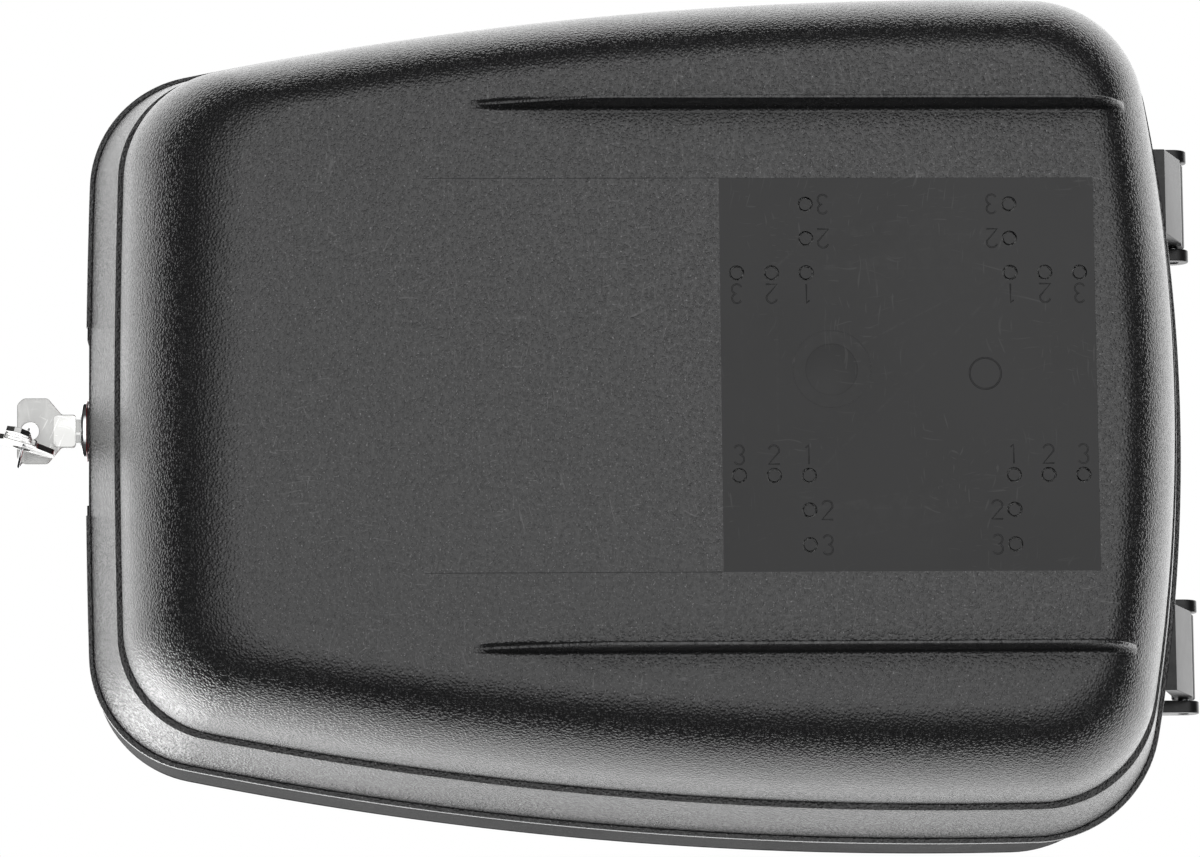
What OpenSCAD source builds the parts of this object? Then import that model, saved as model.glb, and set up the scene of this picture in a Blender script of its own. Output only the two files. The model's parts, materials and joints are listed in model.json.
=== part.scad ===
// Lockable hard-shell top case for a bicycle rear carrier.
// X is across the case, +Y runs towards the hinges, -Y towards the lock, +Z is up.
// The origin is the middle of the inner square of rack drill marks, on the flat underside.
// Sizes are in millimetres.

/* [Shell outline] */
// Largest width of the case, at the lip
case_width = 306; // [270:1:340]
// Distance from the origin to the lock end of the lip
lock_reach = 286; // [250:1:320]
// Distance from the origin to the hinge end of the lip
hinge_reach = 107; // [95:1:130]
// Where along the length the case is widest
widest_y = 23; // [-20:1:40]
// Bow radius of the long sides
side_bow_r = 1360; // [1000:10:2400]
// Bow radius of the lock edge
lock_bow_r = 2800; // [1800:50:6000]
// Bow radius of the hinge edge
hinge_bow_r = 640; // [500:10:1200]
// Corner radius at the lock end
lock_corner_r = 42; // [34:1:52]
// Corner radius at the hinge end
hinge_corner_r = 46; // [38:1:56]

/* [Base shell] */
// Height of the parting plane above the flat underside
rim_z = 104; // [92:1:125]
// Height of the ledge between the two wall tiers
ledge_z = 66; // [50:1:80]
// Wall thickness of both shells
wall = 3; // [2.4:0.1:4]
// Width of the lip that runs round the rim
lip_width = 1.8; // [1.5:0.1:3]
// Height of the lip
lip_height = 3; // [2:0.1:5]
// Draft of the upper wall tier on the long sides, measured across the tier
side_draft = 6.6; // [4:0.1:9]
// Draft of the upper wall tier at the lock end
lock_draft = 9.3; // [6:0.1:11]
// Draft of the upper wall tier at the hinge end
hinge_draft = 4.4; // [3:0.1:8]
// Width of the downward ledge
ledge_width = 2.2; // [1.5:0.1:4]
// Run of the rounded edge under the long sides
round_side = 29.5; // [24:0.5:36]
// Run of the rounded edge under the lock end
round_lock = 44.5; // [30:0.5:60]
// Run of the rounded edge under the hinge end
round_hinge = 26.5; // [20:0.5:34]
// Height of the tongue that stands up inside the lid
tongue_height = 3; // [2:0.1:5]

/* [Lid shell] */
// Height of the upright skirt of the lid
skirt_height = 45; // [38:0.5:50]
// Inward draft of the skirt over its height
skirt_draft = 0.4; // [0.2:0.1:2]
// Height from the skirt to the top of the crown
crown_height = 41; // [34:1:60]
// Gap at the parting plane
parting_gap = 0.5; // [0.4:0.1:1]
// How far the lid stands back from the lip on the sides
lid_setback = 0.3; // [0.2:0.1:1]
// How far the lid stands back from the lip at the hinges
hinge_setback = 4; // [3.5:0.1:5]

/* [Runners] */
// Distance between the two runners
runner_spacing = 189; // [160:1:200]
// Height of a runner below the flat underside
runner_height = 13.5; // [8:0.5:16]
// Thickness of a runner
runner_thickness = 2.4; // [1.8:0.1:4]
// Where a runner reaches its full height
runner_full_y = -107; // [-140:1:-80]
// Where a runner starts, at no height
runner_start_y = -151; // [-180:1:-145]
// Where a runner ends, on the rounded edge at the hinge end
runner_end_y = 77; // [68:1:80]
// Length over which a runner dies away at the hinge end
runner_end_run = 24; // [12:1:30]

/* [Rack drill marks] */
// Step between neighbouring drill marks
mark_step = 12; // [10:0.5:14]
// Side of the inner square of drill marks
mark_square = 70.5; // [60:0.5:76]
// Diameter of a drill mark
mark_diameter = 5.3; // [4:0.1:6]
// Depth of a drill mark
mark_depth = 1; // [0.5:0.1:1.5]
// Drill marks along each arm of a corner
marks_per_arm = 3; // [2:1:3]

/* [Hinges] */
// Distance of each hinge from the middle of the case
hinge_x = 83; // [70:1:90]
// Length of the hinge barrel on the base
barrel_length = 31; // [24:0.5:36]
// Outer radius of the hinge barrel
barrel_r = 4.3; // [3.8:0.1:4.8]
// Outer radius of the hinge lugs on the lid
lug_r = 5.6; // [5.2:0.1:5.8]
// Thickness of a hinge lug
lug_thickness = 4.4; // [3:0.1:6]
// Side gap between a lug and the barrel
lug_gap = 0.7; // [0.4:0.1:1.2]
// Radius of the steel hinge pin
pin_r = 2; // [1.5:0.1:2.4]
// Distance of the hinge axis beyond the hinge end of the lip
hinge_stand_off = 3; // [2.5:0.1:5]
// Height of the hinge axis above the parting plane
hinge_rise = 30; // [20:0.5:32]

/* [Lock] */
// Height of the lock axis above the parting plane
lock_rise = 21; // [19:0.5:24]
// Radius of the lock head
head_r = 11.25; // [10:0.05:11.5]
// Radius of the threaded lock body
body_r = 9; // [8.5:0.1:9.5]
// Radius of the turning plug
plug_r = 6; // [5.8:0.1:6.5]
// Running clearance between plug and body
plug_clearance = 0.06; // [0.02:0.01:0.1]
// Key turn from open to locked
lock_turn = 90; // [90:1:90]
// Width across flats of the lock nut
nut_af = 22; // [21:0.5:23]
// Number of wafers in the plug
wafer_count = 5; // [3:1:6]

/* [Reflector] */
// Width of the reflector lens
lens_width = 58; // [50:1:64]
// Height of the reflector lens
lens_height = 34; // [28:0.5:36]
// Thickness of the lens at its middle
lens_thickness = 4.2; // [3:0.1:5]
// Bow radius of the lens front
lens_bow_r = 245; // [200:5:600]

/* [Keys] */
// Width of a key bow
bow_width = 24; // [20:0.5:28]
// Length of a key bow
bow_length = 16; // [13:0.5:20]
// Thickness of a key
key_thickness = 2; // [1.6:0.1:2.2]
// Width of the key blade
blade_width = 8.4; // [7:0.1:9]
// Radius of the hole in a key bow
bow_hole_r = 3.3; // [2.8:0.1:3.6]
// Wire radius of the split ring
ring_wire_r = 0.75; // [0.5:0.05:0.9]
// Middle radius of the split ring
ring_r = 7.75; // [7.5:0.05:9]

/* [Hidden] */
$fn = 48;
eps = 0.01;
small_gap = 0.3;

// Outline of the shells, as arcs joined by corner arcs.
side_pts = 9;
corner_pts = 6;
end_pts = 4;

// Meeting point of two circles, on the side given by s.
function meet(c1, r1, c2, r2, s) =
    let (d = norm(c2 - c1), a = (r1 * r1 - r2 * r2 + d * d) / (2 * d),
         h = sqrt(r1 * r1 - a * a), u = (c2 - c1) / d)
    c1 + a * u + s * h * [-u[1], u[0]];
function arc(c, r, a0, a1, n) =
    [for (i = [0:n - 1]) c + r * [cos(a0 + (a1 - a0) * i / n), sin(a0 + (a1 - a0) * i / n)]];
function angle_of(v) = atan2(v[1], v[0]);

// Half outline from the lock end round the +X side to the hinge end.
// inset = [side, lock end, hinge end]
function half_outline(inset) =
    let (rs = side_bow_r - inset[0], rl = lock_bow_r - inset[1], rh = hinge_bow_r - inset[2],
         cs = [case_width / 2 - side_bow_r, widest_y], cl = [0, lock_bow_r - lock_reach],
         ch = [0, hinge_reach - hinge_bow_r],
         ql = max(lock_corner_r - inset[0] * 0.45, lock_corner_r / 3),
         qh = max(hinge_corner_r - inset[0] * 0.45, hinge_corner_r / 3),
         fl = meet(cs, rs - ql, cl, rl - ql, -1), fh = meet(cs, rs - qh, ch, rh - qh, 1),
         al = angle_of(fl - cl), sl = angle_of(fl - cs), sh = angle_of(fh - cs),
         ah = angle_of(fh - ch))
    concat(
        arc(cl, rl, -90, al, end_pts), arc(fl, ql, al, sl, corner_pts),
        arc(cs, rs, sl, sh, side_pts), arc(fh, qh, sh, ah, corner_pts),
        arc(ch, rh, ah, 90, end_pts));
function mirror_x(pts) = [for (i = [len(pts) - 1:-1:0]) [-pts[i][0], pts[i][1]]];
function outline(inset) =
    let (h = half_outline(inset), n = len(h))
    concat(h, [[0, hinge_reach - inset[2]]],
           mirror_x([for (i = [1:n - 1]) h[i]]));
ring_n = len(outline([0, 0, 0]));

// A closed skin through stacked rings; level = [[side, lock, hinge inset], z, scale].
// The scale shrinks a ring towards the middle of the crown.
module skin(levels) {
    rings = [for (l = levels) [for (p = outline(l[0]))
        [p[0] * l[2], crown_y + (p[1] - crown_y) * l[2], l[1]]]];
    points = [for (r = rings, p = r) p];
    last = (len(levels) - 1) * ring_n;
    faces = concat(
        [[for (i = [0:ring_n - 1]) i]],
        [for (k = [0:len(levels) - 2], i = [0:ring_n - 1], t = [0, 1])
            let (a = k * ring_n + i, b = k * ring_n + (i + 1) % ring_n, c = a + ring_n,
                 d = b + ring_n)
            t == 0 ? [a, c, b] : [b, c, d]],
        [[for (i = [ring_n - 1:-1:0]) last + i]]);
    polyhedron(points, faces, convexity = 8);
}

function same(v) = [v, v, v];
function quarter(i, n) = 90 * i / n;

// Base: from the flat underside up the outside, over the tongue and down the inside.
tier_run = [side_draft, lock_draft, hinge_draft];
tier_foot = same(lip_width) + tier_run;
ledge_inset = tier_foot + same(ledge_width);
round_run = [round_side, round_lock, round_hinge];
edge_steps = 8;
lid_inset = [lid_setback, lid_setback, hinge_setback];
tongue_out = lid_inset + same(wall + 0.7);
tongue_in = tongue_out + same(2);
tongue_z = rim_z + tongue_height;
// The tongue stops short of the hinge end, where the edge of the lid swings inwards.
tongue_stop_y = hinge_reach - hinge_corner_r - 6;
base_outer = concat(
    [for (i = [0:edge_steps])
        [ledge_inset + round_run * (1 - sin(quarter(i, edge_steps))),
         ledge_z * (1 - cos(quarter(i, edge_steps))), 1]],
    [[tier_foot, ledge_z + 0.4, 1],
     [same(lip_width), rim_z - lip_height, 1], [same(0), rim_z - lip_height + eps, 1],
     [same(0), rim_z, 1]]);
base_tongue = [[tongue_out, rim_z + eps, 1], [tongue_out, tongue_z, 1],
               [tongue_in, tongue_z + eps, 1]];
inner_top_inset = tier_foot + same(wall);
inner_run = round_run - same(wall);
base_inner = concat(
    [[tongue_in + same(0.2), rim_z - 6, 1], [inner_top_inset, ledge_z + wall + 2, 1]],
    [for (i = [edge_steps:-1:0])
        [ledge_inset + same(wall) + inner_run * (1 - sin(quarter(i, edge_steps))),
         wall + (ledge_z - wall + 1) * (1 - cos(quarter(i, edge_steps))), 1]]);

// Lid: up the outside to the crown, then down the inside to the parting plane.
lid_z = rim_z + parting_gap;
skirt_z = rim_z + skirt_height;
skirt_inset = lid_inset + same(skirt_draft);
shoulder_run = [62, 74, 58];
shoulder_height = crown_height * 0.86;
lid_steps = 8;
crown_rings = 4;
crown_y = (hinge_reach - lock_reach) / 2;
function crown_scale(i) = 1 - 0.93 * i / crown_rings;
function crown_rise(i) = (crown_height - shoulder_height) * (1 - pow(crown_scale(i), 2));
function lid_skin(w, z0) = concat(
    [[lid_inset + same(w), z0, 1]],
    [for (i = [0:lid_steps])
        [skirt_inset + same(w) + shoulder_run * (1 - cos(quarter(i, lid_steps))),
         skirt_z + (shoulder_height - w) * sin(quarter(i, lid_steps)), 1]],
    [for (i = [1:crown_rings])
        [skirt_inset + same(w) + shoulder_run,
         skirt_z + shoulder_height - w + crown_rise(i), crown_scale(i)]]);
lid_outer = lid_skin(0, lid_z);
lid_inner = lid_skin(wall, lid_z - eps);
function backwards(list) = [for (i = [len(list) - 1:-1:0]) list[i]];

// Hinge line.
hinge_y = hinge_reach + hinge_stand_off;
hinge_z = rim_z + hinge_rise;
lug_x = barrel_length / 2 + lug_gap;
pin_length = barrel_length + 2 * (lug_gap + lug_thickness) - 1;
lug_root_inset = hinge_setback + skirt_draft * (hinge_rise - parting_gap) / skirt_height + wall / 2;
tower_clearance = 0.8;
tower_bend = 12;
pin_fit = 0.02;
barrel_fit = 0.08;
function edge_y(x, inset) =
    hinge_reach - hinge_bow_r + sqrt(pow(hinge_bow_r - inset, 2) - x * x);

// Lock stack, from the front to the cam; each place follows from the one before.
lens_setback = 0.4;
lock_z = rim_z + lock_rise;
lens_front_y = -lock_reach + lens_setback;
lens_back_y = lens_front_y + lens_thickness;
gasket_thickness = 0.8;
head_thickness = 2.4;
seat_y = lens_front_y + 0.4;
head_front_y = seat_y - gasket_thickness - head_thickness;
backplate_thickness = 2;
pocket_y = lens_back_y + backplate_thickness;
pocket_wall_y = pocket_y + wall;
washer_thickness = 0.8;
washer_back_y = pocket_wall_y + washer_thickness;
nut_thickness = 5.5;
nut_back_y = washer_back_y + nut_thickness;
body_back_y = nut_back_y + 5;
stop_washer_thickness = 1;
cam_thickness = 2.5;
cam_y = body_back_y + stop_washer_thickness + small_gap;
cam_back_y = cam_y + cam_thickness;
tail_half = 3;
collar_r = plug_r + 1.5;
collar_depth = 1.6;
plug_bore_r = plug_r + plug_clearance;
screw_r = 1.5;
pocket_half = lens_width / 2 + 1;
pocket_root_y = -lock_reach + lid_setback + skirt_draft + wall / 2;
pocket_low_z = lid_z;
lens_z = lock_z;
pocket_high_z = lens_z + lens_height / 2 + 1.5;
notch_half = pocket_half + wall + 1;
notch_depth = 1.2;
screw_x = lens_width / 2 - 10;
screw_head_r = 3;

// Hook cam and strike.
hub_r = 7;
hook_in_r = lock_rise + 5;
hook_out_r = hook_in_r + 5;
arm_width = 6;
tab_half = 5;
tab_top_z = rim_z - 1.5;
tab_thickness = 2;
strike_half = 12;
strike_y = nut_back_y - 1.5;
strike_thickness = 1.5;
strike_low_z = rim_z - 24;
strike_screw_z = strike_low_z + 6;
strike_screw_x = 7;

// Keys.
key_tip_y = body_back_y - 4;
neck_width = 12;
neck_length = 5;
key_front_y = head_front_y - 2;
bow_base_y = key_front_y - neck_length;
bow_end_y = bow_base_y - bow_length;
bow_web = 1.3;
hole_y = bow_end_y + bow_web + bow_hole_r;
bow_chamfer = 5;
bow_far_chamfer = 2.2;

// Split ring: it passes through the bow hole and round the -X edge of the bow.
ring_heading = 196;
section = bow_width / 2 - bow_hole_r;
ring_offset = bow_hole_r + section / 2;
ring_inner_r = ring_r - ring_wire_r;
ring_drop = sqrt(pow(ring_inner_r - small_gap, 2) - pow(section / 2, 2));
ring_z = lock_z + key_thickness / 2 - ring_drop;
ring_x = ring_offset * cos(ring_heading);
ring_y = hole_y + ring_offset * sin(ring_heading);
ring_low_z = ring_z - ring_r;
spare_drop = bow_hole_r - ring_wire_r - 0.15;

// A slab of thickness t with corners rounded by r.
module rounded_slab(w, h, t, r) {
    linear_extrude(t)
        hull()
            for (x = [-1, 1], y = [-1, 1])
                translate([x * (w / 2 - r), y * (h / 2 - r)]) circle(r, $fn = 32);
}

// A round bar along +Y from y0 to y1.
module rod_y(r, y0, y1) {
    translate([0, y0, 0]) rotate([-90, 0, 0]) cylinder(r = r, h = y1 - y0);
}

module rod_x(r, x0, x1) {
    translate([x0, 0, 0]) rotate([0, 90, 0]) cylinder(r = r, h = x1 - x0);
}

module at_lock() { translate([0, 0, lock_z]) children(); }
module at_hinges() { for (s = [-1, 1]) translate([s * hinge_x, hinge_y, hinge_z]) children(); }

module both_sides(x) { for (s = [-1, 1]) translate([s * x, 0, 0]) children(); }

// Places its children at every drill mark: an L of marks at each corner of the square.
module at_marks() {
    for (sx = [-1, 1], sy = [-1, 1], i = [0:marks_per_arm - 1], arm = [0, 1])
        if (i > 0 || arm == 0)
            translate([sx * (mark_square / 2 + (arm == 0 ? 0 : i * mark_step)),
                       sy * (mark_square / 2 + (arm == 0 ? i * mark_step : 0)), 0])
                children();
}

// Height of the rounded edge at the hinge end, above the point y on the line of a runner.
function edge_rise(y) =
    let (into = y - (edge_y(runner_spacing / 2, ledge_inset[2]) - round_hinge))
    into <= 0 ? 0 : ledge_z * (1 - sqrt(1 - pow(min(1, into / round_hinge), 2)));

// A runner ramps up from nothing, and at the hinge end it dies away into the rounded edge.
module runner() {
    fade_y = runner_end_y - runner_end_run;
    path = [for (a = [0:10:90]) [sin(a), cos(a)]];
    crest = [for (p = path)
        let (y = fade_y + runner_end_run * p[0]) [edge_rise(y) - runner_height * p[1], y]];
    root = [for (p = path)
        let (y = fade_y + runner_end_run * p[0]) [edge_rise(y) + wall / 2, y]];
    translate([runner_thickness / 2, 0, 0]) rotate([0, -90, 0])
        linear_extrude(runner_thickness)
            polygon(concat([[wall / 2, runner_start_y], [0, runner_start_y],
                            [-runner_height, runner_full_y]], crest, backwards(root)));
}

module strike_boss() {
    wall_y = -lock_reach + tier_foot[1];
    translate([-strike_half, wall_y, strike_low_z - 1])
        cube([2 * strike_half, strike_y - wall_y, rim_z - 3 - strike_low_z]);
}

// A tower carries each barrel above the lip, outside the lid. Its origin is on the hinge axis.
module hinge_tower() {
    far_x = hinge_x + barrel_length / 2;
    near_x = hinge_x - barrel_length / 2;
    lip_in = edge_y(far_x, lip_width) - hinge_y;
    lip_out = edge_y(near_x, 0) - hinge_y;
    clear = edge_y(near_x, hinge_setback) + tower_clearance - hinge_y;
    low = rim_z - lip_height + 0.5 - hinge_z;
    translate([-barrel_length / 2, 0, 0]) rotate([90, 0, 90])
        linear_extrude(barrel_length)
            polygon([[lip_in, low], [lip_out, low], [barrel_r * 0.4, -tower_bend],
                     [barrel_r * 0.8, -pin_r - 0.2], [-barrel_r * 0.8, -pin_r - 0.2],
                     [clear, rim_z - hinge_z + tongue_height], [clear, rim_z - hinge_z - eps],
                     [lip_in, rim_z - hinge_z - eps]]);
}

module base_shell() color("#3a3b3c") difference() {
    union() {
        difference() {
            skin(concat(base_outer, base_tongue, base_inner));
            translate([-case_width, tongue_stop_y, rim_z])
                cube([2 * case_width, hinge_reach, tongue_height + 1]);
        }
        both_sides(runner_spacing / 2) runner();
        strike_boss();
        at_hinges() {
            rod_x(barrel_r, -barrel_length / 2, barrel_length / 2);
            hinge_tower();
        }
    }
    at_hinges() rod_x(pin_r + barrel_fit, -barrel_length, barrel_length);
    translate([0, 0, -eps]) at_marks() cylinder(d = mark_diameter, h = mark_depth + eps);
    translate([-notch_half, -lock_reach - 5, rim_z - 0.4])
        cube([2 * notch_half, pocket_wall_y + lock_reach + 6, tongue_height + 2]);
    translate([-notch_half, -lock_reach - 5, rim_z - lip_height - 1])
        cube([2 * notch_half, notch_depth + 5, lip_height + 2]);
    both_sides(strike_screw_x) translate([0, 0, strike_screw_z])
        rod_y(screw_r, strike_y - 7, strike_y + 1);
}

// A round lug at x, with a root that ends inside the lid's skirt.
module hinge_lug(x) {
    root_y = edge_y(x, lug_root_inset);
    translate([x - lug_thickness / 2, root_y, hinge_z - lug_r])
        cube([lug_thickness, hinge_y - root_y, 2 * lug_r]);
    translate([x, hinge_y, hinge_z]) rod_x(lug_r, -lug_thickness / 2, lug_thickness / 2);
}

module lid_shell() color("#2f3031") difference() {
    union() {
        skin(concat(backwards(lid_inner), lid_outer));
        translate([-pocket_half - wall, pocket_root_y, pocket_low_z])
            cube([2 * (pocket_half + wall), pocket_wall_y - pocket_root_y,
                  pocket_high_z + wall - pocket_low_z]);
        for (h = [-1, 1], s = [-1, 1]) hinge_lug(h * hinge_x + s * (lug_x + lug_thickness / 2));
    }
    translate([-pocket_half, -lock_reach - 5, pocket_low_z - 1])
        cube([2 * pocket_half, pocket_y + lock_reach + 5, pocket_high_z - pocket_low_z + 1]);
    at_hinges() rod_x(pin_r + pin_fit, -barrel_length, barrel_length);
    at_lock() rod_y(body_r + small_gap, pocket_y - 1, pocket_wall_y + 1);
    both_sides(screw_x) at_lock() rod_y(screw_r + 0.2, pocket_y - 1, pocket_wall_y + 1);
}

module hinge_pin() {
    translate([0, hinge_y, hinge_z]) rod_x(pin_r, -pin_length / 2, pin_length / 2);
}
module hinge_pin_left() color("#8d9093") translate([-hinge_x, 0, 0]) hinge_pin();
module hinge_pin_right() color("#8d9093") translate([hinge_x, 0, 0]) hinge_pin();

// The lens is a slab with a bowed front and a hole for the lock body.
module reflector_lens() color("#a3161c") difference() {
    intersection() {
        translate([0, lens_back_y, lens_z]) rotate([90, 0, 0])
            rounded_slab(lens_width, lens_height, lens_thickness + 1, 9);
        translate([0, lens_front_y + lens_bow_r, 0])
            cylinder(r = lens_bow_r, h = 2 * rim_z, $fn = 360);
    }
    at_lock() rod_y(head_r + small_gap, lens_front_y - 1, seat_y);
    at_lock() rod_y(body_r + small_gap, lens_front_y - 1, lens_back_y + 1);
    both_sides(screw_x) at_lock() rod_y(screw_r, lens_back_y - 2.2, lens_back_y + 1);
}

module reflector_backplate() color("#2a2a2b") difference() {
    translate([0, pocket_y, lens_z]) rotate([90, 0, 0])
        rounded_slab(lens_width, lens_height, backplate_thickness, 9);
    at_lock() rod_y(body_r + small_gap, lens_back_y - 1, pocket_y + 1);
    both_sides(screw_x) at_lock() rod_y(screw_r + 0.2, lens_back_y - 1, pocket_y + 1);
}

module reflector_screws() color("#9a9c9e") both_sides(screw_x) at_lock() {
    rod_y(screw_r - eps, lens_back_y - 2, pocket_wall_y + eps);
    difference() {
        rod_y(screw_head_r, pocket_wall_y, pocket_wall_y + 1.8);
        translate([-0.4, pocket_wall_y + 0.9, -2]) cube([0.8, 2, 4]);
        translate([-2, pocket_wall_y + 0.9, -0.4]) cube([4, 2, 0.8]);
    }
}

module lock_gasket() color("#1c1c1d") at_lock() difference() {
    rod_y(head_r - 0.4, seat_y - gasket_thickness, seat_y);
    rod_y(body_r + 0.1, seat_y - 2, seat_y + 1);
}

module lock_housing() color("#c9ccce") at_lock() difference() {
    union() {
        rod_y(head_r - 1.2, head_front_y, head_front_y + 1);
        rod_y(head_r, head_front_y + 0.8, head_front_y + head_thickness);
        rod_y(body_r, head_front_y + 1, body_back_y);
    }
    rod_y(plug_bore_r, head_front_y - 1, body_back_y + 1);
    rod_y(collar_r + plug_clearance, head_front_y - 1, head_front_y + collar_depth + 0.1);
}

key_slot_half = blade_width / 2 + 0.15;
wafer_pitch = (key_tip_y - head_front_y - 6) / wafer_count;
function wafer_y(i) = head_front_y + 5 + i * wafer_pitch;
wafer_thickness = 1.2;
wafer_half_x = plug_r - 1;
wafer_half_z = 3;

module lock_plug() color("#b9bcbe") at_lock() difference() {
    union() {
        rod_y(collar_r, head_front_y + 0.1, head_front_y + collar_depth);
        rod_y(plug_r, head_front_y + 0.5, body_back_y);
        translate([-tail_half, body_back_y - eps, -tail_half])
            cube([2 * tail_half, cam_back_y - body_back_y, 2 * tail_half]);
    }
    translate([-key_slot_half, head_front_y - 1, -key_thickness / 2 - 0.1])
        cube([2 * key_slot_half, key_tip_y - head_front_y + 2, key_thickness + 0.2]);
    for (i = [0:wafer_count - 1])
        translate([-wafer_half_x - 0.1, wafer_y(i) - 0.05, -wafer_half_z - 0.1])
            cube([2 * wafer_half_x + 0.2, wafer_thickness + 0.1, 2 * wafer_half_z + 0.2]);
    rod_y(screw_r, body_back_y - 1, cam_back_y + 1);
}

module lock_wafers() color("#c8a954") at_lock()
    for (i = [0:wafer_count - 1])
        translate([-wafer_half_x + 1.1, wafer_y(i), -wafer_half_z])
            difference() {
                cube([2 * wafer_half_x - 1.1, wafer_thickness, 2 * wafer_half_z]);
                translate([-1.5, -1, wafer_half_z - key_thickness / 2 - 0.1])
                    cube([key_slot_half + wafer_half_x + 0.4, wafer_thickness + 2,
                          key_thickness + 0.2]);
            }

module wafer_springs() color("#aeb1b3") at_lock()
    for (i = [0:wafer_count - 1])
        translate([-wafer_half_x + 0.55, wafer_y(i) + wafer_thickness / 2, key_thickness / 2 + 0.3])
            cylinder(r = 0.4, h = wafer_half_z - key_thickness / 2 - 0.5);

module lock_washer() color("#a9acae") at_lock() difference() {
    rod_y(body_r + 2.6, pocket_wall_y, washer_back_y);
    rod_y(body_r + small_gap, pocket_wall_y - 1, washer_back_y + 1);
}

module lock_nut() color("#b4b6b8") at_lock() difference() {
    translate([0, washer_back_y, 0]) rotate([-90, 30, 0])
        cylinder(r = nut_af / 2 / cos(30), h = nut_thickness, $fn = 6);
    rod_y(body_r + 0.05, washer_back_y - 1, nut_back_y + 1);
}

module square_hole(y0, y1) {
    half = tail_half + 0.05;
    translate([-half, y0, -half]) cube([2 * half, y1 - y0, 2 * half]);
}

module cam_stop_washer() color("#8f9294") at_lock() difference() {
    union() {
        rod_y(hub_r + 0.6, body_back_y + small_gap, body_back_y + small_gap + stop_washer_thickness);
        translate([0, body_back_y + small_gap, -1.5])
            cube([hub_r + 3, stop_washer_thickness, 3]);
    }
    square_hole(body_back_y - 1, cam_y + 1);
}

// Angle about the lock axis: 0 points down, positive towards +X.
module spoke(angle) { rotate([0, -angle, 0]) children(); }

// The hook is an arc about the lock axis on a side arm, so it slides under the strike tab.
module hook_cam() color("#9fa2a4") at_lock() spoke(-lock_turn) difference() {
    union() {
        rod_y(hub_r, cam_y, cam_back_y);
        spoke(-50) translate([-arm_width / 2, cam_y, -hook_in_r - 2])
            cube([arm_width, cam_thickness, hook_in_r + 2]);
        intersection() {
            difference() {
                rod_y(hook_out_r, cam_y, cam_back_y);
                rod_y(hook_in_r, cam_y - 1, cam_back_y + 1);
            }
            spoke(-17.5) translate([0, cam_y - 1, 0]) rotate([-90, 0, 0])
                linear_extrude(cam_thickness + 2)
                    polygon([[0, 0], 2 * hook_out_r * [-sin(37), cos(37)],
                             2 * hook_out_r * [sin(37), cos(37)]]);
        }
    }
    square_hole(cam_y - 1, cam_back_y + 1);
}

module cam_screw() color("#a6a9ab") at_lock() {
    rod_y(screw_r - eps, body_back_y, cam_back_y + eps);
    difference() {
        rod_y(4.6, cam_back_y, cam_back_y + 2.2);
        translate([-0.5, cam_back_y + 1, -3]) cube([1, 2, 6]);
        translate([-3, cam_back_y + 1, -0.5]) cube([6, 2, 1]);
    }
}

module strike_plate() color("#a3a6a8") difference() {
    union() {
        translate([-strike_half, strike_y, strike_low_z])
            cube([2 * strike_half, strike_thickness, rim_z - 3 - strike_low_z]);
        translate([-tab_half, strike_y, tab_top_z - tab_thickness - 6])
            cube([2 * tab_half, strike_thickness, tab_thickness + 6]);
        translate([-tab_half, strike_y, tab_top_z - tab_thickness])
            cube([2 * tab_half, cam_back_y + 2 - strike_y, tab_thickness]);
    }
    both_sides(strike_screw_x) translate([0, 0, strike_screw_z])
        rod_y(screw_r + 0.2, strike_y - 1, strike_y + strike_thickness + 1);
}

module strike_screws() color("#9a9c9e")
    both_sides(strike_screw_x) translate([0, 0, strike_screw_z]) {
        rod_y(screw_r - eps, strike_y - 6, strike_y + strike_thickness + eps);
        difference() {
            rod_y(screw_head_r, strike_y + strike_thickness, strike_y + strike_thickness + 1.8);
            translate([-0.4, strike_y + strike_thickness + 0.9, -2]) cube([0.8, 2, 4]);
            translate([-2, strike_y + strike_thickness + 0.9, -0.4]) cube([4, 2, 0.8]);
        }
    }

// A flat key lying in the XY plane, with the end of its bow at y = 0 and the blade along +Y.
module key_blank(length) {
    half = bow_width / 2;
    neck_y = bow_length + neck_length;
    tip = 3;
    translate([0, 0, -key_thickness / 2]) difference() {
        linear_extrude(key_thickness) union() {
            polygon([[-half + bow_far_chamfer, 0], [half - bow_far_chamfer, 0],
                     [half, bow_far_chamfer], [half, bow_length - bow_chamfer],
                     [neck_width / 2, bow_length], [neck_width / 2, neck_y],
                     [-neck_width / 2, neck_y], [-neck_width / 2, bow_length],
                     [-half, bow_length - bow_chamfer], [-half, bow_far_chamfer]]);
            polygon([[-blade_width / 2, neck_y - 1], [blade_width / 2, neck_y - 1],
                     [blade_width / 2, length - tip], [blade_width / 2 - tip, length],
                     [-blade_width / 2 + tip, length], [-blade_width / 2, length - tip]]);
        }
        translate([0, bow_web + bow_hole_r, -1]) cylinder(r = bow_hole_r, h = key_thickness + 2);
    }
}

module key() color("#c4c6c7") translate([0, bow_end_y, lock_z]) key_blank(key_tip_y - bow_end_y);

module split_ring() color("#b0b3b5")
    translate([ring_x, ring_y, ring_z]) rotate([0, 0, ring_heading]) rotate([90, 0, 0])
        rotate_extrude() translate([ring_r, 0]) circle(ring_wire_r, $fn = 24);

module spare_key() color("#c4c6c7")
    translate([ring_x, ring_y, ring_low_z - spare_drop]) rotate([0, 0, ring_heading + 90])
        rotate([-90, 0, 0]) translate([0, -bow_web - bow_hole_r, 0])
            key_blank(key_tip_y - bow_end_y);

base_shell();
lid_shell();
hinge_pin_left();
hinge_pin_right();
reflector_lens();
reflector_backplate();
reflector_screws();
lock_gasket();
lock_housing();
lock_plug();
lock_wafers();
wafer_springs();
lock_washer();
lock_nut();
cam_stop_washer();
hook_cam();
cam_screw();
strike_plate();
strike_screws();
key();
split_ring();
spare_key();
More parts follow.
